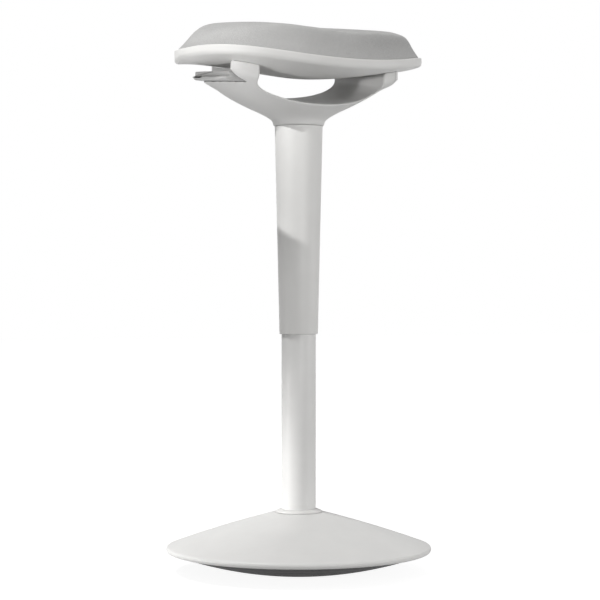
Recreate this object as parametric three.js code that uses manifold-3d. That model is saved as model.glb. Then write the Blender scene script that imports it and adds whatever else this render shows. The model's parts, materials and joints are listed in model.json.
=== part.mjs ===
// Perch stool on a rounded weighted foot, with a gas-sprung column, a yoke and an upholstered saddle seat.
// Millimetres, Z up. The origin is the middle of the foot on the floor and the seat's front is towards -Y.

import * as THREE from 'three';
import { mergeVertices } from 'three/addons/utils/BufferGeometryUtils.js';
import Module from 'manifold-3d';

const wasm = await Module();
wasm.setup();

// Clearances
const gap = 0.3;
const runningGap = 0.5;
const screwGap = 0.4;
const overrun = 20;
const mergeDistance = 0.0001;

// Number of flat sides on round pieces
const wideSides = 48;
const tubeSides = 28;
const smallSides = 14;

// Rubber sole, set into the cover's rim
const rimRadius = 193.5;
const soleEdgeInset = 9.5;
const soleRadius = rimRadius - soleEdgeInset;
const soleEdgeBand = 24;
const soleTurnRadius = soleRadius - soleEdgeBand;
const footRadius = 55;
const soleCurveRadius = 530;
const soleEdgeHeight = 31;
const soleThickness = 4;
const soleArcSteps = 5;

// Cone cover over the foot
const rimRound = 4.5;
const rimHeight = 34;
const coverWall = 3.2;
const coverTopRadius = 39;
const coverTopHeight = 86.5;
const coverBulge = 1.8;
const coverBulgeSteps = 4;
const coverMouthDepth = 9;
const rimArcSteps = 5;

// Iron weight
const ballastEdgeInset = 30;
const ballastRadius = soleTurnRadius - ballastEdgeInset;
const ballastTop = 24;

// Cast socket that holds the column, with its screws
const flangeRadius = 60;
const flangeThickness = 8;
const socketWall = 8;
const socketTopGap = 7.2;
const socketTop = coverTopHeight - coverMouthDepth - socketTopGap;
const socketOpening = 20;
const socketScrews = 4;
const socketScrewRadius = 4;
const socketScrewDepth = 12;
const socketScrewHeadRadius = 6.5;
const socketScrewHeadHeight = 5;
const socketScrewCircle = 46;

// Trim collar round the foot of the tube
const collarRadius = 34;
const collarHeight = 4.5;
const collarSkirt = 6;

// Lower tube
const tubeRadius = 25;
const tubeWall = 2.5;
const tubeMouthHeight = 400;
const tubeFloorThickness = 5;
const tubeFloorHeight = 12;

// Guide bush in the mouth of the lower tube
const bushLength = 62;
const bushFlangeHeight = 3;
const bushFlangeInset = 0.6;
const bushFlangeRadius = tubeRadius - bushFlangeInset;

// Gas cylinder with its tapered end
const cylinderRadius = 14;
const cylinderWall = 2;
const cylinderTail = 12;
const coneLength = 46;
const coneTopRadius = 12.6;
const cylinderCrown = 36;
const cylinderRise = 2;

// Piston, rod and what holds the rod's foot
const rodRadius = 5;
const endGuideLength = 18;
const pistonLength = 10;
const washerRadius = 13;
const washerThickness = 3;
const bufferRadius = 12;
const bufferLength = 22;
const clipRadius = 9;
const clipThickness = 2;
const clipGrooveDepth = 1.5;
const rodTail = 3;

// Tapered upper sleeve
const sleeveFootHeight = 346.5;
const sleeveFootGap = 0.9;
const sleeveWall = 2.2;
const sleeveFootRadius = tubeRadius + sleeveFootGap + sleeveWall;
const sleeveTopRadius = 35;
const sleeveTopWall = 3.5;
const shoulderHeight = 650;

// Yoke: its levels are shares of its height, its sections shares of its half width and half depth
const yokeHeight = 71;
const yokeHalfWidth = 143.5;
const yokeHalfDepth = 77;
const yokeLevelShares = [0, 0.13, 0.25, 0.38, 0.51, 0.62, 0.75, 0.87, 1];
const yokeWidthShares = [0.254, 0.28, 0.361, 0.479, 0.591, 0.676, 0.778, 0.915, 1];
const yokeDepthShares = [0.468, 0.51, 0.66, 0.83, 0.95, 1, 1, 0.985, 0.97];
const yokeSquarenesses = [2, 2.1, 2.4, 2.9, 3.5, 4.2, 5, 5, 5];
const yokeTopOverlap = 45;
const yokeSides = 48;
const spigotRadius = sleeveTopRadius - sleeveTopWall - gap;
const spigotLength = 44;
const armEndLength = 40.5;
const eyeHalfWidth = yokeHalfWidth - armEndLength;
const eyeDepth = 32;
const eyeSlopeShare = 0.15;
const eyeSides = 20;

// Pocket over the gas cylinder, where the release rocker works
const pocketLeft = 27;
const pocketRight = 12;
const pocketHalfDepth = 12;
const pocketHeight = 24;

// Valve pin and release rocker
const valvePinRadius = 1.8;
const valvePinLength = 48;
const valveButtonRadius = 3.6;
const valveButtonHeight = 4;
const valveButtonLift = 5.5;
const rockerWidth = 14;
const rockerThickness = 4.5;
const rockerPivotOffset = 9;
const rockerRight = 12.5;
const rockerLeft = 13;
const rockerBoss = 4.2;
const rockerPinRadius = 2;
const rockerPinLength = 32;

// Hand lever in the bay at the end of the left arm
const bayLength = 37;
const bayInnerReach = yokeHalfWidth - bayLength;
const bayFrontCheek = 29;
const bayBackCheek = 16;
const bayFront = yokeHalfDepth - bayFrontCheek;
const bayBack = yokeHalfDepth - bayBackCheek;
const bayFloorDepth = 9.8;
const bayLugHeight = 11;
const bayRiseAngle = 5;
const leverFloorGap = 1;
const leverHullGap = 1.5;
const leverEndGap = 1.2;
const leverThickness = 12;
const leverLip = 4.9;
const leverReach = 4;
const leverLipReach = 7;
const leverPinRadius = 2.5;
const leverPinInset = 6;
const leverPinLift = 6.2;
const leverPinHold = 6;

// Release cable from the lever bay to the rocker, its route in shares of its reach and of the bay's height
const cableRadius = 2;
const cableGap = 0.35;
const cableQuarterSides = 4;
const cableSteps = 14;
const cableTopInset = 3;
const cableTopReach = bayInnerReach + cableTopInset;
const cableRouteShares = [
  [0.895, 0.887],
  [0.703, 0.681],
  [0.502, 0.49],
  [0.338, 0.346],
];
const cableEndHeight = 16.5;
const cableEndGap = 1.5;
const cableMouthDepth = 4;

// End cap on the right arm
const capLength = 16;
const capInnerReach = yokeHalfWidth - capLength;

// Seat shell
const seatHalfWidth = 184;
const seatHalfDepth = 160;
const seatSquareness = 2.1;
const seatSides = 48;
const bellyDepth = 2;
const bellySlopeShare = 0.1;
const hullPower = 1.1;
const hullRoundShare = 0.25;
const rimSideRise = 35;
const rimFrontDip = 21.5;
const rimFrontPower = 3;
const rimBackRise = 15;
const rimBackPower = 1.6;
const rimDepth = 13;
const rimEarDepth = 7;
const rimEarAheadShare = -0.45;
const rimEarReachShare = 0.3;
const rimEarSharpness = 4;
const shellWall = 3;
const rimWidth = 4;
const rimBevel = 2.5;
const hullShares = [0.15, 0.35, 0.55, 0.75, 0.88, 0.96];
const hullToolShare = 1.1;

// Moulded pan
const panThickness = 7;
const panGap = 0.6;

// Screws through the seat shell, two into the cheek before the lever bay and two into the right arm
const seatScrewRadius = 2.6;
const seatScrewHeadRadius = 5;
const seatScrewHeadHeight = 3.2;
const seatScrewLength = 18;
const cheekScrewInset = 6.5;
const cheekScrewInFront = 12;
const cheekScrewAcross = 9.5;
const cheekScrewBack = 4;
const armScrewDepthShare = 0.64;

// Cushion
const cushionEdgeGap = 1.2;
const cushionEdgeLift = 1.5;
const crownRise = 74.5;
const crownFrontFall = 21.3;
const crownBend = 4.4;
const crownSideRise = 16.2;
const crownSideFall = 43;
const crownSideFallPower = 3.67;
const crownTwist = 13.4;
const cushionWallSlope = 1.32;
const cushionWallFrontGain = 0.73;
const cushionRound = 8;
const cushionFloorGap = 0.8;
const cushionTopShares = [0.985, 0.97, 0.955, 0.935, 0.905, 0.86, 0.8, 0.65, 0.45, 0.2];

// Geometry helpers

// Keeps positions only, joins equal corners, drops faces with no area and turns the faces outwards.
function closedGeometry(geometry) {
  const bare = new THREE.BufferGeometry();
  bare.setAttribute('position', geometry.getAttribute('position'));
  bare.setIndex(geometry.getIndex());
  const merged = mergeVertices(bare, mergeDistance);
  const corners = merged.getAttribute('position');
  const [a, b, c] = [new THREE.Vector3(), new THREE.Vector3(), new THREE.Vector3()];
  const faces = [];
  let volume = 0;
  for (let i = 0; i < merged.index.count; i += 3) {
    const face = [0, 1, 2].map((k) => merged.index.getX(i + k));
    if (new Set(face).size < 3) continue;
    [a, b, c].forEach((corner, k) => corner.fromBufferAttribute(corners, face[k]));
    volume += a.dot(b.cross(c));
    faces.push(face);
  }
  const outward = volume > 0 ? faces : faces.map(([p, q, r]) => [p, r, q]);
  merged.setIndex(outward.flat());
  return merged;
}

function toSolid(geometry) {
  const closed = closedGeometry(geometry);
  return new wasm.Manifold(
    new wasm.Mesh({
      numProp: 3,
      vertProperties: closed.getAttribute('position').array,
      triVerts: new Uint32Array(closed.index.array),
    }),
  );
}

function toGeometry(solid) {
  const mesh = solid.getMesh();
  const geometry = new THREE.BufferGeometry();
  geometry.setAttribute('position', new THREE.BufferAttribute(mesh.vertProperties, 3));
  geometry.setIndex(new THREE.BufferAttribute(mesh.triVerts, 1));
  return geometry;
}

function cut(geometry, ...tools) {
  return toGeometry(tools.reduce((body, tool) => body.subtract(toSolid(tool)), toSolid(geometry)));
}

function joined(geometry, ...others) {
  return toGeometry(others.reduce((body, other) => body.add(toSolid(other)), toSolid(geometry)));
}

function common(geometry, other) {
  return toGeometry(toSolid(geometry).intersect(toSolid(other)));
}

// A profile of [radius, height] points turned about the Z axis.
function turned(profile, sides) {
  const points = profile.map(([radius, height]) => new THREE.Vector2(radius, height));
  const onAxis = profile[0][0] === 0 && profile[profile.length - 1][0] === 0;
  const outline = onAxis ? points : [...points, points[0].clone()];
  return closedGeometry(new THREE.LatheGeometry(outline, sides).rotateX(Math.PI / 2));
}

// A round ring or tube between two radii and two heights.
function ring(inner, outer, low, high, sides) {
  return turned([[inner, low], [outer, low], [outer, high], [inner, high]], sides);
}

function disc(radius, low, high, sides) {
  return turned([[0, low], [radius, low], [radius, high], [0, high]], sides);
}

function moved(geometry, x, y, z = 0) {
  return geometry.clone().translate(x, y, z);
}

function block(left, right, front, back, low, high) {
  const box = new THREE.BoxGeometry(right - left, back - front, high - low);
  return moved(box, (left + right) / 2, (front + back) / 2, (low + high) / 2);
}

// A round pin along Y.
function crossPin(radius, x, z, front, back) {
  const pin = new THREE.CylinderGeometry(radius, radius, back - front, smallSides);
  return moved(pin, x, (front + back) / 2, z);
}

// A body skinned over a stack of rings with equal numbers of points, closed at both ends.
function skinned(rings) {
  const sides = rings[0].length;
  const middles = [rings[0], rings[rings.length - 1]].map((points) =>
    points.reduce((sum, point) => sum.add(point), new THREE.Vector3()).divideScalar(sides),
  );
  const corners = [...rings.flat(), ...middles];
  const [lowMiddle, highMiddle] = [corners.length - 2, corners.length - 1];
  const faces = [];
  for (let side = 0; side < sides; side += 1) {
    const next = (side + 1) % sides;
    faces.push(lowMiddle, next, side);
    for (let level = 0; level < rings.length - 1; level += 1) {
      const [low, high] = [level * sides, (level + 1) * sides];
      faces.push(low + side, low + next, high + next);
      faces.push(low + side, high + next, high + side);
    }
    const top = (rings.length - 1) * sides;
    faces.push(highMiddle, top + side, top + next);
  }
  const geometry = new THREE.BufferGeometry();
  const positions = new Float32Array(corners.flatMap((point) => point.toArray()));
  geometry.setAttribute('position', new THREE.BufferAttribute(positions, 3));
  geometry.setIndex(faces);
  return closedGeometry(geometry);
}

// A rounded-square ring: power 2 is an ellipse, and a higher power is squarer.
function squircle(halfWidth, halfDepth, power, height, sides) {
  const bulge = (value) => Math.sign(value) * Math.abs(value) ** (2 / power);
  return Array.from({ length: sides }, (_, side) => {
    const angle = (2 * Math.PI * side) / sides;
    const x = halfWidth * bulge(Math.cos(angle));
    const y = halfDepth * bulge(Math.sin(angle));
    return new THREE.Vector3(x, y, height);
  });
}

// Seat surfaces: across and ahead run from -1 to 1 over the seat's plan, and ahead is towards the front.

const bellyHeight = shoulderHeight + yokeHeight - bellyDepth;

function rimTop(ahead) {
  const side = bellyHeight + rimSideRise;
  if (ahead > 0) return side - rimFrontDip * ahead ** rimFrontPower;
  return side + rimBackRise * (-ahead) ** rimBackPower;
}

// Height of the hull's underside at a share of the way out along a direction of the plan.
function hullHeight(share, aheadAtRim) {
  const round = hullRoundShare;
  const bend = (value) => (value ** 2 + round ** 2) ** (hullPower / 2) - round ** hullPower;
  const rise = bend(share) / bend(1);
  const belly = bellyHeight - bellySlopeShare * seatHalfDepth * aheadAtRim * share;
  const ear = Math.max(0, 1 - ((aheadAtRim - rimEarAheadShare) / rimEarReachShare) ** 2);
  const drop = rimDepth + rimEarDepth * ear * share ** rimEarSharpness;
  const edge = rimTop(aheadAtRim) - drop;
  return belly + (edge - belly) * rise;
}

// One ring of the seat's plan, drawn in by an inset, at a height that a function gives.
function seatRing(share, inset, heightAt) {
  const unit = squircle(1, 1, seatSquareness, 0, seatSides);
  return unit.map(({ x, y }) => {
    const width = (seatHalfWidth - inset) * share;
    const depth = (seatHalfDepth - inset) * share;
    return new THREE.Vector3(x * width, y * depth, heightAt(-y, x));
  });
}

function hullRing(share, inset, lift) {
  return seatRing(share, inset, (ahead) => hullHeight(share, ahead) + lift);
}

// Height of the hull's underside over a point of the plan, or of its inner face where an inset is given.
function hullAt(x, y, inset = 0) {
  const u = Math.abs(x / (seatHalfWidth - inset));
  const ahead = -y / (seatHalfDepth - inset);
  const share = (u ** seatSquareness + Math.abs(ahead) ** seatSquareness) ** (1 / seatSquareness);
  return hullHeight(share, ahead / share);
}

// Height of the cushion's crown over the plan.
function crownTop(across, ahead) {
  const straight = bellyHeight + crownRise - crownFrontFall * ahead - crownBend * ahead ** 2;
  const sideFall = crownSideFall * Math.abs(across) ** crownSideFallPower;
  return straight - sideFall + (crownSideRise + crownTwist * ahead) * across ** 2;
}

// Foot

function soleUnder(radius) {
  return Math.max(0, (radius ** 2 - footRadius ** 2) / (2 * soleCurveRadius));
}

function solePoints(lift) {
  const step = (soleTurnRadius - footRadius) / soleArcSteps;
  return Array.from({ length: soleArcSteps + 1 }, (_, i) => {
    const radius = footRadius + step * i;
    return [radius, soleUnder(radius) + lift];
  });
}

function makeSole() {
  const under = [[0, 0], ...solePoints(0), [soleRadius, soleEdgeHeight]];
  const upper = [[soleRadius, soleEdgeHeight + soleThickness], ...solePoints(soleThickness).reverse()];
  return turned([...under, ...upper, [0, soleThickness]], wideSides);
}

function makeBallast() {
  const lift = soleThickness + gap;
  const under = solePoints(lift).filter(([radius]) => radius < ballastRadius);
  const edge = [ballastRadius, soleUnder(ballastRadius) + lift];
  const profile = [[0, lift], ...under, edge, [ballastRadius, ballastTop], [0, ballastTop]];
  const plate = turned(profile, wideSides);
  return cut(plate, ...socketScrewHoles(ballastTop - socketScrewDepth - gap, ballastTop + overrun));
}

const socketFloor = ballastTop + gap;
const socketLedge = socketFloor + flangeThickness;

function aroundSocket(make) {
  return Array.from({ length: socketScrews }, (_, i) => {
    const angle = (2 * Math.PI * (i + 0.5)) / socketScrews;
    return make(socketScrewCircle * Math.cos(angle), socketScrewCircle * Math.sin(angle));
  });
}

function socketScrewHoles(low, high) {
  const hole = disc(socketScrewRadius + screwGap, low, high, smallSides);
  return aroundSocket((x, y) => moved(hole, x, y));
}

function makeSocket() {
  const bore = tubeRadius + gap;
  const profile = [
    [socketOpening, socketFloor],
    [flangeRadius, socketFloor],
    [flangeRadius, socketLedge],
    [bore + socketWall, socketLedge],
    [bore + socketWall, socketTop],
    [bore, socketTop],
    [bore, socketLedge],
    [socketOpening, socketLedge],
  ];
  return cut(turned(profile, tubeSides), ...socketScrewHoles(0, socketLedge + overrun));
}

function makeSocketScrew() {
  const head = socketLedge + gap;
  const profile = [
    [0, ballastTop - socketScrewDepth],
    [socketScrewRadius, ballastTop - socketScrewDepth],
    [socketScrewRadius, head],
    [socketScrewHeadRadius, head],
    [socketScrewHeadRadius, head + socketScrewHeadHeight],
    [0, head + socketScrewHeadHeight],
  ];
  return turned(profile, smallSides);
}

const collarSkirtRadius = tubeRadius + gap + coverWall;

function makeCover() {
  const mouth = collarSkirtRadius + gap;
  const rimCentre = rimRadius - rimRound;
  const slope = Math.atan2(coverTopHeight - rimHeight, rimCentre - coverTopRadius);
  const rim = Array.from({ length: rimArcSteps + 1 }, (_, i) => {
    const angle = Math.PI / 2 - slope - ((Math.PI - slope) * i) / rimArcSteps;
    return [rimCentre + rimRound * Math.cos(angle), rimHeight + rimRound * Math.sin(angle)];
  });
  const [rimStart, rimStartHeight] = rim[0];
  const bulged = Array.from({ length: coverBulgeSteps - 1 }, (_, i) => {
    const way = (i + 1) / coverBulgeSteps;
    const straight = coverTopHeight + (rimStartHeight - coverTopHeight) * way;
    const radius = coverTopRadius + (rimStart - coverTopRadius) * way;
    return [radius, straight + coverBulge * 4 * way * (1 - way)];
  });
  const profile = [
    [mouth, coverTopHeight],
    [coverTopRadius, coverTopHeight],
    ...bulged,
    ...rim,
    [soleRadius + gap, rimHeight - rimRound],
    [soleRadius + gap, rimHeight + soleThickness],
    [coverTopRadius, coverTopHeight - coverMouthDepth],
    [mouth, coverTopHeight - coverMouthDepth],
  ];
  return turned(profile, wideSides);
}

function makeCollar() {
  const bore = tubeRadius + gap;
  const low = coverTopHeight + gap;
  const profile = [
    [bore, coverTopHeight - collarSkirt],
    [collarSkirtRadius, coverTopHeight - collarSkirt],
    [collarSkirtRadius, low],
    [collarRadius, low],
    [collarRadius, low + collarHeight / 2],
    [bore + coverWall, low + collarHeight],
    [bore, low + collarHeight],
  ];
  return turned(profile, tubeSides);
}

// Column

const tubeFoot = socketLedge + gap;
const tubeFloorLow = tubeFoot + tubeFloorHeight;
const tubeFloorTop = tubeFloorLow + tubeFloorThickness;

function makeLowerTube() {
  const bore = tubeRadius - tubeWall;
  const rodHole = rodRadius + runningGap;
  const profile = [
    [tubeRadius, tubeFoot],
    [tubeRadius, tubeMouthHeight],
    [bore, tubeMouthHeight],
    [bore, tubeFloorTop],
    [rodHole, tubeFloorTop],
    [rodHole, tubeFloorLow],
    [bore, tubeFloorLow],
    [bore, tubeFoot],
  ];
  return turned(profile, tubeSides);
}

function makeGuideBush() {
  const bore = cylinderRadius + runningGap;
  const outer = tubeRadius - tubeWall - gap;
  const ledge = tubeMouthHeight + gap;
  const profile = [
    [bore, tubeMouthHeight - bushLength],
    [outer, tubeMouthHeight - bushLength],
    [outer, ledge],
    [bushFlangeRadius, ledge],
    [bushFlangeRadius, ledge + bushFlangeHeight],
    [bore, ledge + bushFlangeHeight],
  ];
  return turned(profile, tubeSides);
}

const cylinderFoot = tubeMouthHeight - bushLength - cylinderTail;
const cylinderTop = shoulderHeight + cylinderRise;
const coneFoot = cylinderTop - coneLength;
const cylinderBore = cylinderRadius - cylinderWall;

function makeGasCylinder() {
  const boreTop = coneFoot - cylinderCrown;
  const pinHole = valvePinRadius + gap;
  const profile = [
    [cylinderBore, cylinderFoot],
    [cylinderRadius, cylinderFoot],
    [cylinderRadius, coneFoot],
    [coneTopRadius, cylinderTop],
    [pinHole, cylinderTop],
    [pinHole, boreTop],
    [cylinderBore, boreTop],
  ];
  return turned(profile, tubeSides);
}

const endGuideTop = cylinderFoot + endGuideLength;
const rodTop = endGuideTop + gap + pistonLength;
const clipTop = tubeFloorLow - gap;
const clipLow = clipTop - clipThickness;

function makeRod() {
  const neck = rodRadius - clipGrooveDepth;
  const profile = [
    [0, clipLow - gap - rodTail],
    [rodRadius, clipLow - gap - rodTail],
    [rodRadius, clipLow - gap],
    [neck, clipLow - gap],
    [neck, clipTop + gap],
    [rodRadius, clipTop + gap],
    [rodRadius, rodTop],
    [0, rodTop],
  ];
  return turned(profile, smallSides);
}

function makePiston() {
  return ring(rodRadius + gap, cylinderBore - gap, rodTop - pistonLength, rodTop, tubeSides);
}

function makeEndGuide() {
  return ring(rodRadius + gap, cylinderBore - gap, cylinderFoot + gap, endGuideTop, tubeSides);
}

function makeClip() {
  return ring(rodRadius - clipGrooveDepth + gap, clipRadius, clipLow, clipTop, smallSides);
}

const washerLow = tubeFloorTop + gap;
const bufferLow = washerLow + washerThickness + gap;

function makeWasher() {
  return ring(rodRadius + gap, washerRadius, washerLow, washerLow + washerThickness, tubeSides);
}

function makeBuffer() {
  return ring(rodRadius + gap, bufferRadius, bufferLow, bufferLow + bufferLength, tubeSides);
}

function makeSleeve() {
  const spigotFoot = shoulderHeight - spigotLength;
  const profile = [
    [sleeveFootRadius - sleeveWall, sleeveFootHeight],
    [sleeveFootRadius, sleeveFootHeight],
    [sleeveTopRadius, shoulderHeight - gap],
    [spigotRadius + gap, shoulderHeight - gap],
    [spigotRadius + gap, spigotFoot],
  ];
  return turned(profile, tubeSides);
}

// Yoke and what it carries

const bayFloor = bellyHeight - bayFloorDepth;
const leverLow = bayFloor + leverFloorGap;
const leverTop = leverLow + leverThickness;
const leverPinX = -bayInnerReach - leverPinInset;
const leverPinZ = bayFloor + leverPinLift;

// The arms' outer form, drawn in by an inset where a piece stands back from it.
function armForm(inset) {
  const levels = yokeLevelShares.map((share, i) => {
    const width = yokeHalfWidth * yokeWidthShares[i] - inset;
    const depth = yokeHalfDepth * yokeDepthShares[i] - inset;
    return squircle(width, depth, yokeSquarenesses[i], shoulderHeight + yokeHeight * share, yokeSides);
  });
  const top = levels[levels.length - 1].map((point) => point.clone());
  top.forEach((point) => point.setZ(point.z + yokeTopOverlap));
  return skinned([...levels, top]);
}

// All the space above the seat shell's underside, less the gap under it.
function spaceOverHull(clearance) {
  const rings = [...hullShares, 1].map((share) => hullRing(share, 0, -clearance));
  const rim = rings[rings.length - 1];
  const wide = rim.map(({ x, y, z }) => new THREE.Vector3(x * hullToolShare, y * hullToolShare, z));
  const roof = wide.map(({ x, y }) => new THREE.Vector3(x, y, bellyHeight + rimSideRise + overrun));
  return skinned([...rings, wide, roof]);
}

// The see-through opening between the arms, level at its middle and rising towards the back.
function eyeTool() {
  const reach = yokeHalfDepth + overrun;
  const ends = [-reach, reach].map((y) => {
    const centre = bellyHeight + eyeSlopeShare * y;
    const bowl = Array.from({ length: eyeSides + 1 }, (_, i) => {
      const angle = Math.PI + (Math.PI * i) / eyeSides;
      const x = eyeHalfWidth * Math.cos(angle);
      return new THREE.Vector3(x, y, centre + eyeDepth * Math.sin(angle));
    });
    const roof = bellyHeight + rimSideRise + overrun;
    const right = new THREE.Vector3(eyeHalfWidth, y, roof);
    const left = new THREE.Vector3(-eyeHalfWidth, y, roof);
    return [...bowl, right, left];
  });
  return skinned(ends);
}

// Turns a body about the lever pin's middle, so that it rises towards the back with the bay.
function inclined(geometry) {
  const turn = THREE.MathUtils.degToRad(bayRiseAngle);
  return moved(moved(geometry, 0, 0, -leverPinZ).rotateX(turn), 0, 0, leverPinZ);
}

function bayTools() {
  const left = -yokeHalfWidth - overrun;
  const high = bellyHeight + rimSideRise + overrun;
  const lugTop = bayFloor + bayLugHeight;
  return [
    block(left, -bayInnerReach, -bayFront, bayBack, bayFloor, high),
    block(left, -bayInnerReach, bayBack - gap, yokeHalfDepth + overrun, lugTop, high),
  ].map(inclined);
}

function pocketTool() {
  const high = shoulderHeight + pocketHeight;
  return block(-pocketLeft, pocketRight, -pocketHalfDepth, pocketHalfDepth, shoulderHeight, high);
}

const buttonLow = cylinderTop + valveButtonLift;
const buttonTop = buttonLow + valveButtonHeight;
const rockerLow = buttonTop + runningGap;
const rockerPinZ = rockerLow + rockerThickness / 2;

function rockerPinBar(radius, length) {
  return crossPin(radius, -rockerPivotOffset, rockerPinZ, -length / 2, length / 2);
}

function leverPinBar(radius, hold) {
  return inclined(crossPin(radius, leverPinX, leverPinZ, -bayFront - hold, bayBack + hold));
}

function cableCurve() {
  const top = new THREE.Vector3(-cableTopReach, 0, leverLow - cableRadius - runningGap);
  const rise = bayFloor - shoulderHeight;
  const through = cableRouteShares.map(
    ([out, up]) => new THREE.Vector3(-cableTopReach * out, 0, shoulderHeight + rise * up),
  );
  const endX = -rockerPivotOffset - rockerLeft - cableEndGap;
  const end = new THREE.Vector3(endX, 0, shoulderHeight + cableEndHeight);
  return new THREE.CatmullRomCurve3([top, ...through, end]);
}

function alongCurve(curve, radius, steps) {
  const section = new THREE.Shape().absarc(0, 0, radius, 0, 2 * Math.PI);
  const options = { extrudePath: curve, steps, curveSegments: cableQuarterSides, bevelEnabled: false };
  return new THREE.ExtrudeGeometry(section, options);
}

function makeCable() {
  return closedGeometry(alongCurve(cableCurve(), cableRadius, cableSteps));
}

// Where the seat screws' heads rest: the shell's inner face at its highest under each head.
function seatScrewPlaces() {
  const left = -bayInnerReach - cheekScrewInset;
  const front = -bayFront - cheekScrewInFront;
  const right = (eyeHalfWidth + capInnerReach) / 2;
  const side = yokeHalfDepth * armScrewDepthShare;
  const places = [
    [left, front],
    [left - cheekScrewAcross, front + cheekScrewBack],
    [right, -side],
    [right, side],
  ];
  return places.map(([x, y]) => {
    const around = squircle(seatScrewHeadRadius, seatScrewHeadRadius, 2, 0, smallSides);
    const faces = around.map((point) => hullAt(x + point.x, y + point.y, rimWidth));
    return [x, y, Math.max(...faces) + shellWall + gap];
  });
}

function atSeatScrews(low, high, radius) {
  const hole = disc(radius, low, high, smallSides);
  return seatScrewPlaces().map(([x, y, z]) => moved(hole, x, y, z));
}

function capTool(inset) {
  const right = yokeHalfWidth + overrun;
  const reach = yokeHalfDepth + overrun;
  const high = bellyHeight + rimSideRise + overrun;
  return block(capInnerReach + inset, right, -reach, reach, bayFloor + inset, high);
}

function makeYoke() {
  const foot = shoulderHeight - spigotLength;
  const spigot = disc(spigotRadius, foot, shoulderHeight + gap, tubeSides);
  const coneSeat = turned(
    [
      [0, foot - overrun],
      [cylinderRadius + gap, foot - overrun],
      [cylinderRadius + gap, coneFoot],
      [coneTopRadius + gap, cylinderTop],
      [coneTopRadius + gap, shoulderHeight + pocketHeight / 2],
      [0, shoulderHeight + pocketHeight / 2],
    ],
    tubeSides,
  );
  const cableBore = alongCurve(cableCurve(), cableRadius + cableGap, cableSteps);
  const [mouthLow, mouthHigh] = [bayFloor - cableMouthDepth, bayFloor + overrun];
  const cableMouth = disc(cableRadius + cableGap, mouthLow, mouthHigh, smallSides);
  return cut(
    joined(armForm(0), spigot),
    spaceOverHull(gap),
    eyeTool(),
    ...bayTools(),
    coneSeat,
    pocketTool(),
    cableBore,
    moved(cableMouth, -cableTopReach, 0),
    rockerPinBar(rockerPinRadius + gap, rockerPinLength + 2 * gap),
    leverPinBar(leverPinRadius + gap, leverPinHold + gap),
    ...atSeatScrews(-seatScrewLength - gap, overrun, seatScrewRadius + gap),
    capTool(0),
  );
}

function makeEndCap() {
  return cut(common(armForm(0), capTool(gap)), spaceOverHull(gap));
}

function makeValvePin() {
  const profile = [
    [0, cylinderTop - valvePinLength],
    [valvePinRadius, cylinderTop - valvePinLength],
    [valvePinRadius, buttonLow],
    [valveButtonRadius, buttonLow],
    [valveButtonRadius, buttonTop],
    [0, buttonTop],
  ];
  return turned(profile, smallSides);
}

function makeRocker() {
  const half = rockerWidth / 2;
  const [left, right] = [-rockerPivotOffset - rockerLeft, rockerRight - rockerPivotOffset];
  const bar = block(left, right, -half, half, rockerLow, rockerLow + rockerThickness);
  const boss = crossPin(rockerBoss, -rockerPivotOffset, rockerPinZ, -half, half);
  return cut(joined(bar, boss), rockerPinBar(rockerPinRadius + gap, rockerWidth + overrun));
}

function makeLever() {
  const [front, back] = [-bayFront + runningGap, bayBack - runningGap - gap];
  const [left, right] = [-yokeHalfWidth - overrun, -bayInnerReach - leverEndGap];
  const lipTop = leverLow + leverLip;
  const lipRoom = inclined(block(left, right, front, back, leverLow, lipTop));
  const stemRoom = inclined(block(left, right, front, back, leverLow, leverTop));
  const lip = common(armForm(-leverLipReach), lipRoom);
  const stem = common(armForm(-leverReach), stemRoom);
  return cut(joined(lip, stem), leverPinBar(leverPinRadius + gap, overrun), spaceOverHull(leverHullGap));
}

// Seat

function makeSeatShell() {
  const inset = rimWidth;
  const outside = [...hullShares, 1].map((share) => hullRing(share, 0, 0));
  const bevelLow = seatRing(1, 0, (ahead) => rimTop(ahead) - rimBevel);
  const bevelTop = seatRing(1, rimBevel, (ahead) => rimTop(ahead));
  const lip = seatRing(1, inset, (ahead) => rimTop(ahead));
  const inside = [1, ...[...hullShares].reverse()].map((share) => hullRing(share, inset, shellWall));
  const tray = skinned([...outside, bevelLow, bevelTop, lip, ...inside]);
  return cut(tray, ...atSeatScrews(-overrun, overrun, seatScrewRadius + screwGap));
}

function insideRing(share, lift) {
  return hullRing(share, rimWidth + cushionEdgeGap, lift);
}

const panLift = shellWall + panGap;
const panTopLift = panLift + panThickness;

function makePan() {
  const under = hullShares.map((share) => insideRing(share, panLift));
  const upper = [...hullShares].reverse().map((share) => insideRing(share, panTopLift));
  const pan = skinned([...under, ...upper]);
  return cut(pan, ...atSeatScrews(-overrun, overrun, seatScrewHeadRadius + 2 * screwGap));
}

function makeSeatScrew() {
  const profile = [
    [0, -seatScrewLength],
    [seatScrewRadius, -seatScrewLength],
    [seatScrewRadius, 0],
    [seatScrewHeadRadius, 0],
    [seatScrewHeadRadius, seatScrewHeadHeight],
    [0, seatScrewHeadHeight],
  ];
  return turned(profile, smallSides);
}

function cushionRing(share) {
  const inset = rimWidth + cushionEdgeGap;
  return seatRing(share, inset, (ahead, across) => {
    const crown = crownTop(across * share, ahead * share);
    const reach = Math.hypot((seatHalfWidth - inset) * across, (seatHalfDepth - inset) * ahead);
    const climb = cushionWallSlope * Math.exp(cushionWallFrontGain * ahead) * (1 - share) * reach;
    const wall = rimTop(ahead) + cushionEdgeLift + climb;
    const near = Math.max(0, 1 - Math.abs(wall - crown) / cushionRound);
    return Math.min(wall, crown) - (near ** 2 * cushionRound) / 4;
  });
}

function makeCushion() {
  const under = [...hullShares, 1].map((share) => insideRing(share, panTopLift + cushionFloorGap));
  return skinned([...under, cushionRing(1), ...cushionTopShares.map(cushionRing)]);
}

// Materials

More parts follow.
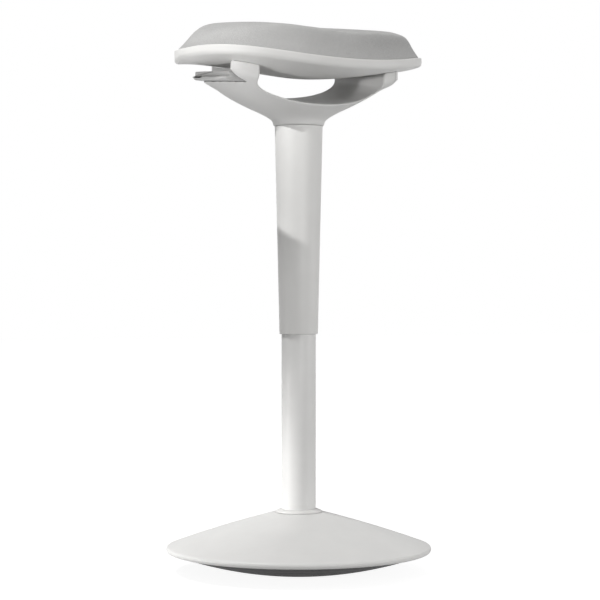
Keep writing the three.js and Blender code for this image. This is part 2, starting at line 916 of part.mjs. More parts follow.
const whitePlastic = { color: 0xe4e5e6, roughness: 0.45, metalness: 0 };
const greyPlastic = { color: 0xb9bbbd, roughness: 0.5, metalness: 0 };
const fabric = { color: 0xa9abac, roughness: 0.95, metalness: 0 };
const rubber = { color: 0x161616, roughness: 0.8, metalness: 0 };
const iron = { color: 0x3a3a3c, roughness: 0.7, metalness: 0.6 };
const steel = { color: 0xb8bcc0, roughness: 0.3, metalness: 1 };
const paintedSteel = { color: 0xdfe0e1, roughness: 0.4, metalness: 0.1 };
const blackPlastic = { color: 0x222326, roughness: 0.55, metalness: 0 };
const plywood = { color: 0xb98f5f, roughness: 0.8, metalness: 0 };

const group = new THREE.Group();

function add(name, geometry, look, x = 0, y = 0, z = 0) {
  const mesh = new THREE.Mesh(geometry, new THREE.MeshStandardMaterial(look));
  mesh.name = name;
  mesh.position.set(x, y, z);
  group.add(mesh);
}

add('rubber_sole', makeSole(), rubber);
add('ballast_plate', makeBallast(), iron);
add('tube_socket', makeSocket(), iron);
aroundSocket((x, y) => [x, y]).forEach(([x, y], i) => {
  add(`socket_screw_${i + 1}`, makeSocketScrew(), steel, x, y);
});
add('base_cover', makeCover(), whitePlastic);
add('base_collar', makeCollar(), whitePlastic);
add('lower_tube', makeLowerTube(), paintedSteel);
add('guide_bush', makeGuideBush(), blackPlastic);
add('piston_rod', makeRod(), steel);
add('piston', makePiston(), blackPlastic);
add('retaining_clip', makeClip(), steel);
add('thrust_washer', makeWasher(), steel);
add('rod_buffer', makeBuffer(), rubber);
add('gas_cylinder', makeGasCylinder(), steel);
add('cylinder_end_guide', makeEndGuide(), blackPlastic);
add('upper_sleeve', makeSleeve(), whitePlastic);
add('yoke', makeYoke(), whitePlastic);
add('arm_end_cap', makeEndCap(), whitePlastic);
add('valve_pin', makeValvePin(), steel);
add('release_rocker', makeRocker(), steel);
add('rocker_pin', rockerPinBar(rockerPinRadius, rockerPinLength), steel);
add('release_cable', makeCable(), blackPlastic);
add('hand_lever', makeLever(), greyPlastic);
add('lever_pin', leverPinBar(leverPinRadius, leverPinHold), steel);
add('seat_shell', makeSeatShell(), whitePlastic);
add('seat_pan', makePan(), plywood);
seatScrewPlaces().forEach((place, i) => {
  add(`seat_screw_${i + 1}`, makeSeatScrew(), steel, ...place);
});
add('cushion', makeCushion(), fabric);

export default group;
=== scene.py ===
# %% [markdown]
# A perch stool, dressed for its picture. A rounded, weighted foot stands on a rubber sole. A painted tube
# and a tapered plastic sleeve rise from it, a yoke with a see-through opening carries the seat, and a hand
# lever at the end of one arm lets the height go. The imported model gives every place: this script only
# makes the fine surfaces, in metres, round the same solids.

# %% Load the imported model
import json
import math

import bmesh
import bpy
import numpy as np
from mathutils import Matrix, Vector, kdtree


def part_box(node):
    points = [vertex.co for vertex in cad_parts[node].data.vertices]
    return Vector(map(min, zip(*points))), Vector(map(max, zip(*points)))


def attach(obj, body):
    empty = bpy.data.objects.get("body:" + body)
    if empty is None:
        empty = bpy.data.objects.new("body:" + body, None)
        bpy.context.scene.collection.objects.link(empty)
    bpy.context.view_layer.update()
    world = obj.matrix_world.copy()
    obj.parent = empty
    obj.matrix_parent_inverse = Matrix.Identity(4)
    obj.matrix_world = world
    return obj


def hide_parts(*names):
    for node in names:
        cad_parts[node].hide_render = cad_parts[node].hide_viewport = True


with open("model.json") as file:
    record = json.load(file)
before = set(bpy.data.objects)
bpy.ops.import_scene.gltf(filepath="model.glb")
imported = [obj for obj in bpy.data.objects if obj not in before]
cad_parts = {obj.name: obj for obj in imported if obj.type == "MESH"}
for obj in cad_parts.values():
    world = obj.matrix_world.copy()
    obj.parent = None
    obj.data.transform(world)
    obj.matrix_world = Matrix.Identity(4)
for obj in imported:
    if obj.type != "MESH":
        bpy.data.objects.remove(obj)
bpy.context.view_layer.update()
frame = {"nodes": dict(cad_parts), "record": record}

scene = bpy.context.scene
MM = 0.001

# %% [markdown]
# The camera stands level, a little below the middle of the stool, and looks thirty degrees from the left
# of its front. A long lens keeps the upright lines parallel. The small shift places the stool in the
# frame without tilting the camera, so that the column stays upright.

# %% Camera
VIEW_TURN = math.radians(-30)
VIEW_DISTANCE = 2.8
VIEW_HEIGHT = 0.41
LENS = 114.9
SENSOR = 36.0
SHIFT_ACROSS = 0.0022
SHIFT_UP = -0.0157


def linked(name, data):
    """A new object in the scene."""
    made = bpy.data.objects.new(name, data)
    scene.collection.objects.link(made)
    return made


def add_camera():
    lens = bpy.data.cameras.new("view")
    lens.lens = LENS
    lens.sensor_width = SENSOR
    lens.shift_x = SHIFT_ACROSS
    lens.shift_y = SHIFT_UP
    camera = linked("view", lens)
    back = (math.sin(VIEW_TURN), -math.cos(VIEW_TURN))
    camera.location = (VIEW_DISTANCE * back[0], VIEW_DISTANCE * back[1], VIEW_HEIGHT)
    camera.rotation_euler = (math.pi / 2, 0, VIEW_TURN)
    scene.camera = camera
    return camera


print("camera at", tuple(round(v, 3) for v in add_camera().location))

# %% [markdown]
# A node tree is easier to read when each line names one node and what feeds it. This helper adds a node
# and fills its inputs: a socket is joined, and a plain value is set. Every finish below is built with it.

# %% A helper for node trees
def node(tree, kind, inputs=(), **settings):
    """Adds a node. inputs names its input sockets, or gives their numbers."""
    made = tree.nodes.new(kind)
    for name, value in settings.items():
        setattr(made, name, value)
    for name, value in dict(inputs).items():
        if isinstance(value, bpy.types.NodeSocket):
            tree.links.new(value, made.inputs[name])
        else:
            made.inputs[name].default_value = value
    return made


def arithmetic(tree, first, second=0.0, operation="ADD"):
    """One step of arithmetic. Each term is a socket or a number."""
    return node(tree, "ShaderNodeMath", {0: first, 1: second}, operation=operation).outputs[0]


def grey(level, tint=(1.0, 1.0, 1.0)):
    """A linear colour from a screen level of 0 to 255, with a slight tint."""
    value = level / 255
    linear = value / 12.92 if value <= 0.04045 else ((value + 0.055) / 1.055) ** 2.4
    return (*(linear * part for part in tint), 1.0)


print("screen level 230 is", round(grey(230)[0], 3), "in linear light")

# %% [markdown]
# A soft sky reaches every side, and a tall soft lamp high on the left shapes the foot and the column. A
# narrow beam from the far left slips under the seat's rim and ends in a sharp edge across the sleeve. A
# broad lamp on the right and one in front keep the shaded side open. Narrow lamps from the left lift the
# seat, the rim's underside and the foot, and leave the middle of the column in the seat's shade. The
# background is white only for rays that come from the camera, a mirror or glass, so it adds no light.

# %% Light
SKY_LEVEL = 0.25
LIGHT_TINT = (1.0, 0.995, 0.985)


def white_for_viewers(tree, lit, white):
    """Mixes two shaders: white for camera, glossy and transmission rays, lit for all the others."""
    rays = node(tree, "ShaderNodeLightPath").outputs
    seen = arithmetic(tree, rays["Is Camera Ray"], rays["Is Glossy Ray"], "MAXIMUM")
    seen = arithmetic(tree, seen, rays["Is Transmission Ray"], "MAXIMUM")
    return node(tree, "ShaderNodeMixShader", {0: seen, 1: lit, 2: white}).outputs[0]


def add_sky():
    sky = bpy.data.worlds.new("studio")
    sky.use_nodes = True
    tree = sky.node_tree
    tree.nodes.clear()
    soft = node(tree, "ShaderNodeBackground", {"Color": (*LIGHT_TINT, 1), "Strength": SKY_LEVEL})
    white = node(tree, "ShaderNodeBackground", {"Color": (1, 1, 1, 1), "Strength": 1.0})
    both = white_for_viewers(tree, soft.outputs[0], white.outputs[0])
    node(tree, "ShaderNodeOutputWorld", {"Surface": both})
    scene.world = sky


def add_lamp(name, kind, power, place, target, **settings):
    """A lamp at a place, turned to face a target."""
    lamp = bpy.data.lights.new(name, kind)
    lamp.energy = power
    lamp.color = LIGHT_TINT
    for key, value in settings.items():
        setattr(lamp, key, value)
    holder = linked(name, lamp)
    way = np.array(target) - np.array(place)
    lean = math.atan2(math.hypot(way[0], way[1]), -way[2])
    holder.location = place
    holder.rotation_euler = (lean, 0, math.atan2(way[1], way[0]) - math.pi / 2)


def add_spot(name, power, place, target, cone, blend, softness):
    """A spot lamp. cone is its full angle in degrees."""
    add_lamp(name, "SPOT", power, place, target,
             spot_size=math.radians(cone), spot_blend=blend, shadow_soft_size=softness)


def from_side(turn, rise, distance, height):
    """A place seen from the axis at a compass turn from the front, at a rise above level, in degrees."""
    turn, rise = math.radians(turn), math.radians(rise)
    flat = distance * math.cos(rise)
    return (flat * math.sin(turn), -flat * math.cos(turn), height + distance * math.sin(rise))


BEAM_EDGE_HEIGHT = 0.47
BEAM_RISE = 31.0
BEAM_CONE = 2.9
BEAM_DISTANCE = 3.0
BEAM_ASIDE = -0.029


def beam_target(place):
    """Where the beam points, so that its lower edge meets the column's axis at the wanted height."""
    fall = math.tan(math.radians(BEAM_RISE - BEAM_CONE / 2))
    return (0, BEAM_ASIDE, place[2] - fall * math.hypot(place[0], place[1]))


BROAD_LAMPS = (  # name, power, (turn, rise, distance, height), size
    ("tall_lamp", 34, (-95, 63, 2.6, 0.3), 0.7),
    ("right_fill", 22, (50, 3, 3.0, 0.5), 2.0),
    ("front_fill", 21, (-8, 0, 3.0, 0.5), 1.2),
)
NARROW_LAMPS = (  # name, power, (turn, rise, distance, height), target, cone, blend, softness
    ("rim_lamp", 17, (-88, -33, 1.25, 0.76), (-0.14, -0.04, 0.755), 10.6, 0.6, 0.06),
    ("seat_lamp", 104, (-74, -6, 3.0, 0.82), (0, 0, 0.82), 8.2, 0.55, 0.1),
    ("foot_lamp", 235, (-106, 1, 3.0, 0.09), (0, 0, 0.09), 7.4, 0.6, 0.1),
)

beam_place = from_side(-83, BEAM_RISE, BEAM_DISTANCE, BEAM_EDGE_HEIGHT)
add_sky()
add_spot("low_beam", 190, beam_place, beam_target(beam_place), BEAM_CONE, 0.15, 0.004)
for name, power, side, size in BROAD_LAMPS:
    add_lamp(name, "AREA", power, from_side(*side), (0, 0, side[3]), shape="DISK", size=size)
for name, power, side, target, *edge in NARROW_LAMPS:
    add_spot(name, power, from_side(*side), target, *edge)

# %% [markdown]
# The floor is a large pale sheet. For the camera it glows almost white by itself, and a little diffuse
# paint brings it up to white wherever light falls, so only the stool's shadow stays visible.

# %% Floor
FLOOR_REACH = 12.0
FLOOR_TONE = 168
FLOOR_GLOW = 0.9
FLOOR_SHADOW = 0.42


def add_floor():
    corners = [(-1, -1), (1, -1), (1, 1), (-1, 1)]
    sheet = bpy.data.meshes.new("floor")
    sheet.from_pydata([(FLOOR_REACH * x, FLOOR_REACH * y, 0) for x, y in corners], [], [(0, 1, 2, 3)])
    paint = bpy.data.materials.new("floor_paint")
    paint.use_nodes = True
    tree = paint.node_tree
    tree.nodes.clear()
    diffuse = node(tree, "ShaderNodeBsdfDiffuse", {"Color": grey(FLOOR_TONE)})
    faint = node(tree, "ShaderNodeBsdfDiffuse", {"Color": (FLOOR_SHADOW,) * 3 + (1,)})
    glow = node(tree, "ShaderNodeEmission", {"Color": (1, 1, 1, 1), "Strength": FLOOR_GLOW})
    seen = node(tree, "ShaderNodeAddShader", {0: glow.outputs[0], 1: faint.outputs[0]})
    both = white_for_viewers(tree, diffuse.outputs[0], seen.outputs[0])
    node(tree, "ShaderNodeOutputMaterial", {"Surface": both})
    sheet.materials.append(paint)
    linked("floor", sheet)


add_floor()
scene.view_settings.view_transform = "Standard"
print("floor laid")

# %% [markdown]
# Moulded plastic is never one flat colour up close. The tool that shapes it is spark-eroded to a fine
# grain, and the gloss wanders a little from patch to patch. All moulded pieces share this finish, and each
# gives its own colour and gloss. The grain reads Object coordinates, so it keeps its real size on every
# piece.

# %% Moulded plastic
NOISE_LOW = 0.3
NOISE_HIGH = 0.7


def start_finish(name):
    """A new material with one Principled shader. Gives the tree, the shader and object coordinates."""
    made = bpy.data.materials.new(name)
    made.use_nodes = True
    tree = made.node_tree
    tree.nodes.clear()
    shader = node(tree, "ShaderNodeBsdfPrincipled")
    node(tree, "ShaderNodeOutputMaterial", {"Surface": shader.outputs[0]})
    return made, tree, shader, node(tree, "ShaderNodeTexCoord").outputs["Object"]


def noise(tree, place, size, detail=2.0, roughness=0.5):
    """Noise whose lumps are about one size across, in metres. Gives its level from 0 to 1."""
    inputs = {"Vector": place, "Scale": 1 / size, "Detail": detail, "Roughness": roughness}
    return node(tree, "ShaderNodeTexNoise", inputs).outputs["Fac"]


def between(tree, level, out_low, out_high, low=NOISE_LOW, high=NOISE_HIGH):
    """Maps a level onto a range. Without more said, the level is noise, which mostly keeps to the middle."""
    inputs = {"Value": level, "From Min": low, "From Max": high, "To Min": out_low, "To Max": out_high}
    return node(tree, "ShaderNodeMapRange", inputs).outputs["Result"]


def blend_colours(tree, level, first, second, mode="MIX"):
    """A mix of two colours by a level. Each is a socket or a plain value."""
    inputs = {0: level, 6: first, 7: second}
    return node(tree, "ShaderNodeMix", inputs, data_type="RGBA", blend_type=mode).outputs[2]


def shade(colour, factor):
    """The same colour, darker or lighter."""
    return tuple(min(1.0, part * factor) for part in colour[:3]) + (1.0,)


def lay_finish(tree, shader, colour, roughness, height, depth):
    """Joins a colour, a roughness, and a height map worth a real depth in metres, to the shader."""
    bump = node(tree, "ShaderNodeBump", {"Height": height, "Distance": depth, "Strength": 1.0}).outputs[0]
    for name, source in (("Base Color", colour), ("Roughness", roughness), ("Normal", bump)):
        tree.links.new(source, shader.inputs[name])


def moulded_plastic(name, colour, gloss):
    made, tree, shader, place = start_finish(name)
    drift = noise(tree, place, 60 * MM, 3)
    wear = noise(tree, place, 7 * MM, 4, 0.6)
    tone = blend_colours(tree, between(tree, drift, 0, 1), colour, shade(colour, 0.955))
    grain = noise(tree, place, 0.45 * MM, 1)
    lay_finish(tree, shader, tone, between(tree, wear, *gloss), grain, 0.02 * MM)
    return made


white_plastic = moulded_plastic("cover_plastic", grey(229, (1, 0.997, 0.985)), (0.4, 0.52))
# The yoke is the same white plastic as the cover; its slightly darker grey (222 against 229) is painted
# shade.
yoke_plastic = moulded_plastic("yoke_plastic", grey(222, (1, 0.998, 0.99)), (0.45, 0.58))
# The hand lever is the same white plastic too; its mid grey is painted shade for the lever under the seat's
# rim.
lever_plastic = moulded_plastic("lever_plastic", grey(176, (1, 0.998, 0.99)), (0.36, 0.48))
black_plastic = moulded_plastic("black_plastic", grey(42), (0.35, 0.5))
print("plastics:", [m.name for m in (white_plastic, yoke_plastic, lever_plastic, black_plastic)])

# %% [markdown]
# The column tube is powder-coated. The powder melts into a tough satin skin with a faint orange peel, and
# its thin clear top adds only a touch of shine.

# %% Powder coat
def powder_coat(name, colour):
    made, tree, shader, place = start_finish(name)
    peel = noise(tree, place, 2.2 * MM, 2)
    drift = noise(tree, place, 40 * MM, 3)
    tone = blend_colours(tree, between(tree, drift, 0, 1), colour, shade(colour, 0.965))
    shader.inputs["Coat Weight"].default_value = 0.05
    lay_finish(tree, shader, tone, between(tree, drift, 0.5, 0.58), peel, 0.03 * MM)
    return made


tube_paint = powder_coat("tube_paint", grey(231, (1, 0.998, 0.99)))
print("paint:", tube_paint.name)

# %% [markdown]
# The seat wears a plain woven cover of light grey yarn. Real yarns differ a little in shade, rise over
# and under one another, and carry short loose fibres. Three flat weaves, one for each axis, are blended
# by the way the surface faces, so that the cloth keeps its thread size on the top and on the walls.

# %% Woven cover
THREAD = 1.3 * MM


def thread_waves(tree, first, second):
    """Height of a plain weave from two coordinates: each thread is round, and every other one is on top."""
    turns = [arithmetic(tree, way, math.pi / THREAD, "MULTIPLY") for way in (first, second)]
    sines = [arithmetic(tree, turn, operation="SINE") for turn in turns]
    rounds = [arithmetic(tree, sine, sine, "MULTIPLY") for sine in sines]
    body = arithmetic(tree, arithmetic(tree, *rounds), 0.35, "MULTIPLY")
    over = arithmetic(tree, arithmetic(tree, *sines, "MULTIPLY"), 0.45, "MULTIPLY")
    return arithmetic(tree, body, over)


def woven_height(tree, place):
    """The weave seen along each axis, blended by the way the surface faces."""
    along = node(tree, "ShaderNodeSeparateXYZ", {0: place}).outputs
    facing = node(tree, "ShaderNodeNewGeometry").outputs["Normal"]
    parts = node(tree, "ShaderNodeSeparateXYZ", {0: facing}).outputs
    total = 0.0
    for first, second, axis in ((1, 2, 0), (0, 2, 1), (0, 1, 2)):
        share = arithmetic(tree, arithmetic(tree, parts[axis], operation="ABSOLUTE"), 2.0, "POWER")
        weave = thread_waves(tree, along[first], along[second])
        total = arithmetic(tree, total, arithmetic(tree, weave, share, "MULTIPLY"))
    return total


def woven_cover(name, colour):
    made, tree, shader, place = start_finish(name)
    weave = woven_height(tree, place)
    yarn = noise(tree, place, 1.8 * MM, 3, 0.7)
    cloud = noise(tree, place, 35 * MM, 3)
    melange = blend_colours(tree, between(tree, yarn, 0, 1), shade(colour, 0.84), shade(colour, 1.16))
    # Painted shade: the colour darkens where the weave is low, between the threads.
    painted_hollow_shade = between(tree, weave, 0.78, 1.05, -0.2, 0.9)
    shaded = blend_colours(tree, 1.0, melange, painted_hollow_shade, "MULTIPLY")
    faded = blend_colours(tree, between(tree, cloud, 0, 0.35), shaded, colour)
    for socket, value in (("Sheen Weight", 0.25), ("Sheen Roughness", 0.5), ("Specular IOR Level", 0.25)):
        shader.inputs[socket].default_value = value
    fuzz = arithmetic(tree, weave, arithmetic(tree, yarn, 0.5, "MULTIPLY"))
    lay_finish(tree, shader, faded, between(tree, yarn, 0.82, 0.95), fuzz, 0.25 * MM)
    return made


seat_fabric = woven_cover("seat_fabric", grey(187, (1, 1, 0.995)))
print("cover:", seat_fabric.name)

# %% [markdown]
# The rest of the finishes belong to pieces that show less: matt rubber with a bloom of dust, painted cast
# iron with a sandy skin, ground steel with fine lines round its axis, and the beech plywood of the pan.

# %% Rubber, iron, steel and plywood
def dusty_rubber(name):
    made, tree, shader, place = start_finish(name)
    dust = between(tree, noise(tree, place, 5 * MM, 4, 0.65), 0, 0.5, 0.45, 0.75)
    tone = blend_colours(tree, dust, grey(24), grey(58))
    skin = noise(tree, place, 0.9 * MM, 3)
    lay_finish(tree, shader, tone, between(tree, dust, 0.7, 0.9, 0, 0.5), skin, 0.05 * MM)
    return made


def cast_iron(name):
    made, tree, shader, place = start_finish(name)
    sand = noise(tree, place, 1.6 * MM, 4, 0.7)
    shader.inputs["Metallic"].default_value = 0.4
    tone = blend_colours(tree, sand, grey(48), grey(72))
    lay_finish(tree, shader, tone, between(tree, sand, 0.5, 0.75), sand, 0.2 * MM)
    return made


def ground_steel(name):
    made, tree, shader, place = start_finish(name)
    squeeze = node(tree, "ShaderNodeMapping", {"Vector": place, "Scale": (1, 1, 40)}).outputs[0]
    lines = noise(tree, squeeze, 20 * MM, 3)
    shader.inputs["Metallic"].default_value = 1.0
    tone = blend_colours(tree, lines, grey(178), grey(206))
    lay_finish(tree, shader, tone, between(tree, lines, 0.22, 0.38), lines, 0.01 * MM)
    return made


def beech_plywood(name):
    made, tree, shader, place = start_finish(name)
    stretch = node(tree, "ShaderNodeMapping", {"Vector": place, "Scale": (1, 12, 60)}).outputs[0]
    grain = noise(tree, stretch, 60 * MM, 5, 0.6)
    tone = blend_colours(tree, grain, grey(190, (1, 0.76, 0.5)), grey(222, (1, 0.82, 0.6)))
    lay_finish(tree, shader, tone, between(tree, grain, 0.6, 0.8), grain, 0.05 * MM)
    return made


sole_rubber = dusty_rubber("sole_rubber")
ballast_iron = cast_iron("ballast_iron")
bright_steel = ground_steel("bright_steel")
pan_wood = beech_plywood("pan_wood")
print("others:", [m.name for m in (sole_rubber, ballast_iron, bright_steel, pan_wood)])

# %% [markdown]
# The pieces that stay hidden, or that are already right as solids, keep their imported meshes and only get
# a finish. The record says which finish each node has, so one loop can hand them all out.

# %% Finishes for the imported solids
FINISHES = {
    "cover_plastic": white_plastic,
    "tube_paint": tube_paint,
    "yoke_plastic": yoke_plastic,
    "lever_plastic": lever_plastic,
    "seat_fabric": seat_fabric,
    "sole_rubber": sole_rubber,
    "ballast_iron": ballast_iron,
    "bright_steel": bright_steel,
    "black_plastic": black_plastic,
    "pan_wood": pan_wood,
}
slot_of = {part["node"]: part["material_slot"] for part in frame["record"]["subparts"]}
for name, solid in frame["nodes"].items():
    solid.data.materials.clear()
    solid.data.materials.append(FINISHES[slot_of[name]])
print(f"{len(slot_of)} solids have their finish")

# %% [markdown]
# Moulded and turned edges are never knife-sharp: each has a small round that catches the light. This
# helper rounds the corners of an outline. Each corner becomes an arc that touches both of its edges, and
# it never takes more than its share of a short edge.

# %% Rounding an outline
ARC_STEPS = 5
EDGE_SHARE = 0.48
ALMOST_STRAIGHT = 20


def round_corner(before, corner, after, radius):
    """Points of an arc that replaces a corner between two straight edges."""
    before, corner, after = (np.array(point, float) for point in (before, corner, after))
    way_in, way_out = before - corner, after - corner
    reach_in, reach_out = np.linalg.norm(way_in), np.linalg.norm(way_out)
    way_in, way_out = way_in / reach_in, way_out / reach_out
    half = math.acos(max(-1.0, min(1.0, float(way_in @ way_out)))) / 2
    if math.tan(half) > ALMOST_STRAIGHT or radius == 0:
        return [tuple(corner)]
    cut = min(radius / math.tan(half), EDGE_SHARE * reach_in, EDGE_SHARE * reach_out)
    start, end = corner + way_in * cut, corner + way_out * cut
    centre = corner + (way_in + way_out) / np.linalg.norm(way_in + way_out) * cut / math.cos(half)
    first = math.atan2(*(start - centre)[::-1])
    turn = math.atan2(*(end - centre)[::-1]) - first
    turn = (turn + math.pi) % (2 * math.pi) - math.pi
    span = np.linalg.norm(start - centre)
    angles = [first + turn * i / ARC_STEPS for i in range(ARC_STEPS + 1)]
    return [tuple(centre + span * np.array([math.cos(a), math.sin(a)])) for a in angles]


def rounded_outline(corners, closed=True):
    """corners holds (across, up, radius). An open outline keeps its two end points."""
    count = len(corners)
    points = []
    for i, (across, up, radius) in enumerate(corners):
        if not closed and i in (0, count - 1):
            points.append((across, up))
            continue
        before, after = corners[i - 1][:2], corners[(i + 1) % count][:2]
        points += round_corner(before, (across, up), after, radius)
    return points


print("a square corner becomes", len(round_corner((0, 1), (0, 0), (1, 0), 0.2)), "points")

# %% [markdown]
# Every finished piece goes through the same last steps: smooth shading with hard creases kept, its finish,
# the body that carries it, and the solids that it stands for.

# %% Placing a piece
CREASE = math.radians(38)
DOUBLED = 0.001 * MM


def place_piece(name, mesh, finish, body, *nodes):
    """Makes a mesh a piece of the stool, on a body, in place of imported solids."""
    mesh.name = name
    mesh.shade_smooth()
    mesh.set_sharp_from_angle(angle=CREASE)
    mesh.materials.clear()
    mesh.materials.append(finish)
    piece = linked(name, mesh)
    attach(piece, body)
    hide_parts(*nodes)
    print(f"{name}: {len(mesh.polygons)} faces on {body}")
    return piece


def tidy_mesh(mesh):
    """Joins doubled corners and turns all faces outwards."""
    work = bmesh.new()
    work.from_mesh(mesh)
    bmesh.ops.remove_doubles(work, verts=work.verts, dist=DOUBLED)
    bmesh.ops.recalc_face_normals(work, faces=work.faces)
    work.to_mesh(mesh)
    work.free()
    return mesh


# %% [markdown]
# The foot, the collar, the tube and the sleeve are all turned about the column's axis, so one Geometry
# Nodes tree can make them. It sweeps an outline round a circle. A sweep lays the outline's first axis
# outwards and its second axis downwards, so the outline is drawn that way up. The circle's own radius is
# taken off the outline first, which lets the outline start on the axis itself.

# %% A lathe in Geometry Nodes
CORE_RADIUS = 10 * MM
ROUND_SIDES = 168
JOIN_DISTANCE = 0.01 * MM


def lathe_tree():
    tree = bpy.data.node_groups.new("lathe", "GeometryNodeTree")
    sockets = {
        "Outline": "NodeSocketObject",
        "Core radius": "NodeSocketFloat",
        "Sides": "NodeSocketInt",
        "Join distance": "NodeSocketFloat",
        "Finish": "NodeSocketMaterial",
    }
    for name, kind in sockets.items():
        tree.interface.new_socket(name, in_out="INPUT", socket_type=kind)
    tree.interface.new_socket("Geometry", in_out="OUTPUT", socket_type="NodeSocketGeometry")
    given = node(tree, "NodeGroupInput").outputs
    drawn = node(tree, "GeometryNodeObjectInfo", {"Object": given["Outline"]})
    circle = node(tree, "GeometryNodeCurvePrimitiveCircle",
                  {"Resolution": given["Sides"], "Radius": given["Core radius"]}, mode="RADIUS")
    sweep = node(tree, "GeometryNodeCurveToMesh",
                 {"Curve": circle.outputs["Curve"], "Profile Curve": drawn.outputs["Geometry"]})
    merge = node(tree, "GeometryNodeMergeByDistance",
                 {"Geometry": sweep.outputs["Mesh"], "Distance": given["Join distance"]})
    real = node(tree, "GeometryNodeRealizeInstances", {"Geometry": merge.outputs["Geometry"]})
    finish = node(tree, "GeometryNodeSetMaterial",
                  {"Geometry": real.outputs["Geometry"], "Material": given["Finish"]})
    node(tree, "NodeGroupOutput", {"Geometry": finish.outputs["Geometry"]})
    return tree


LATHE = lathe_tree()
LATHE_INPUTS = {s.name: s.identifier for s in LATHE.interface.items_tree if s.in_out == "INPUT"}


def draw_outline(points, closed):
    curve = bpy.data.curves.new("outline", "CURVE")
    curve.dimensions = "3D"
    line = curve.splines.new("POLY")
    line.points.add(len(points) - 1)
    for place, (radius, height) in zip(line.points, points):
        place.co = (radius - CORE_RADIUS, -height, 0, 1)
    line.use_cyclic_u = closed
    return linked("outline", curve)


def plain_mesh(host, *helpers):
    """The host's mesh with its modifiers applied. The host and its helpers are removed."""
    mesh = bpy.data.meshes.new_from_object(host.evaluated_get(bpy.context.evaluated_depsgraph_get()))
    for used in (host, *helpers):
        bpy.data.objects.remove(used, do_unlink=True)
    return mesh


def turned_mesh(points, finish, closed=True):
    """A closed body turned from an outline of (radius, height) points."""
    drawn = draw_outline(points, closed)
    host = linked("host", bpy.data.meshes.new("host"))
    lathe = host.modifiers.new("lathe", "NODES")
    lathe.node_group = LATHE
    given = {"Outline": drawn, "Core radius": CORE_RADIUS, "Sides": ROUND_SIDES,
             "Join distance": JOIN_DISTANCE, "Finish": finish}
    for name, value in given.items():
        lathe[LATHE_INPUTS[name]] = value
    return tidy_mesh(plain_mesh(host, drawn))


print("lathe inputs:", list(LATHE_INPUTS))

# %% [markdown]
# The foot's cover is a thin cone of white plastic, very slightly bulged, that ends in a round rim. The
# rim's arc starts where the cone touches it, so the cone flows into it without a crease.

# %% Foot cover
RIM_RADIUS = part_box("base_cover")[1].x
COVER_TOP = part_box("base_cover")[1].z
RIM_ROUND = 4.5 * MM
RIM_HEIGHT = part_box("base_cover")[0].z + RIM_ROUND
COVER_TOP_RADIUS = 39 * MM
COVER_BULGE = 1.8 * MM
COVER_BULGE_STEPS = 20
COVER_MOUTH_DEPTH = 9 * MM
RIM_ARC_STEPS = 14
TUBE_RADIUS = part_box("lower_tube")[1].x
CLEARANCE = 0.3 * MM
COLLAR_WALL = 3.2 * MM
SOLE_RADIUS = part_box("rubber_sole")[1].x
SOLE_THICKNESS = 4 * MM


def cover_outline():
    mouth = TUBE_RADIUS + 2 * CLEARANCE + COLLAR_WALL
    centre = RIM_RADIUS - RIM_ROUND
    slope = math.atan2(COVER_TOP - RIM_HEIGHT, centre - COVER_TOP_RADIUS)
    rim = []
    for i in range(RIM_ARC_STEPS + 1):
        angle = math.pi / 2 - slope - (math.pi - slope) * i / RIM_ARC_STEPS
        rim.append((centre + RIM_ROUND * math.cos(angle), RIM_HEIGHT + RIM_ROUND * math.sin(angle), 0))
    bulge = []
    for i in range(1, COVER_BULGE_STEPS):
        way = i / COVER_BULGE_STEPS
        radius = COVER_TOP_RADIUS + (rim[0][0] - COVER_TOP_RADIUS) * way
        straight = COVER_TOP + (rim[0][1] - COVER_TOP) * way
        bulge.append((radius, straight + COVER_BULGE * 4 * way * (1 - way), 0))
    inner = SOLE_RADIUS + CLEARANCE
    floor = COVER_TOP - COVER_MOUTH_DEPTH
    return [
        (mouth, COVER_TOP, 0.6 * MM), (COVER_TOP_RADIUS, COVER_TOP, 2.5 * MM), *bulge, *rim,
        (inner, RIM_HEIGHT - RIM_ROUND, 0.4 * MM), (inner, RIM_HEIGHT + SOLE_THICKNESS, 1 * MM),
        (COVER_TOP_RADIUS, floor, 2 * MM), (mouth, floor, 0.3 * MM),
    ]


cover_mesh = turned_mesh(rounded_outline(cover_outline()), white_plastic)
place_piece("foot_cover", cover_mesh, white_plastic, "base", "base_cover")

# %% [markdown]
# The sole is a shallow rubber bowl with a flat middle, so the stool stands by itself and rocks when it is
# leaned on. Concentric grooves let it grip. They are cut into the outline: each goes straight in, across
# and out again.

# %% Rubber sole
SOLE_FOOT_RADIUS = 55 * MM
SOLE_TURN_RADIUS = SOLE_RADIUS - 24 * MM
SOLE_CURVE_RADIUS = 530 * MM
SOLE_EDGE_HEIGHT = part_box("rubber_sole")[1].z - SOLE_THICKNESS
GROOVE_COUNT = 12
GROOVE_WIDTH = 2.2 * MM
GROOVE_DEPTH = 1.3 * MM


def sole_under(radius):
    return max(0.0, (radius**2 - SOLE_FOOT_RADIUS**2) / (2 * SOLE_CURVE_RADIUS))


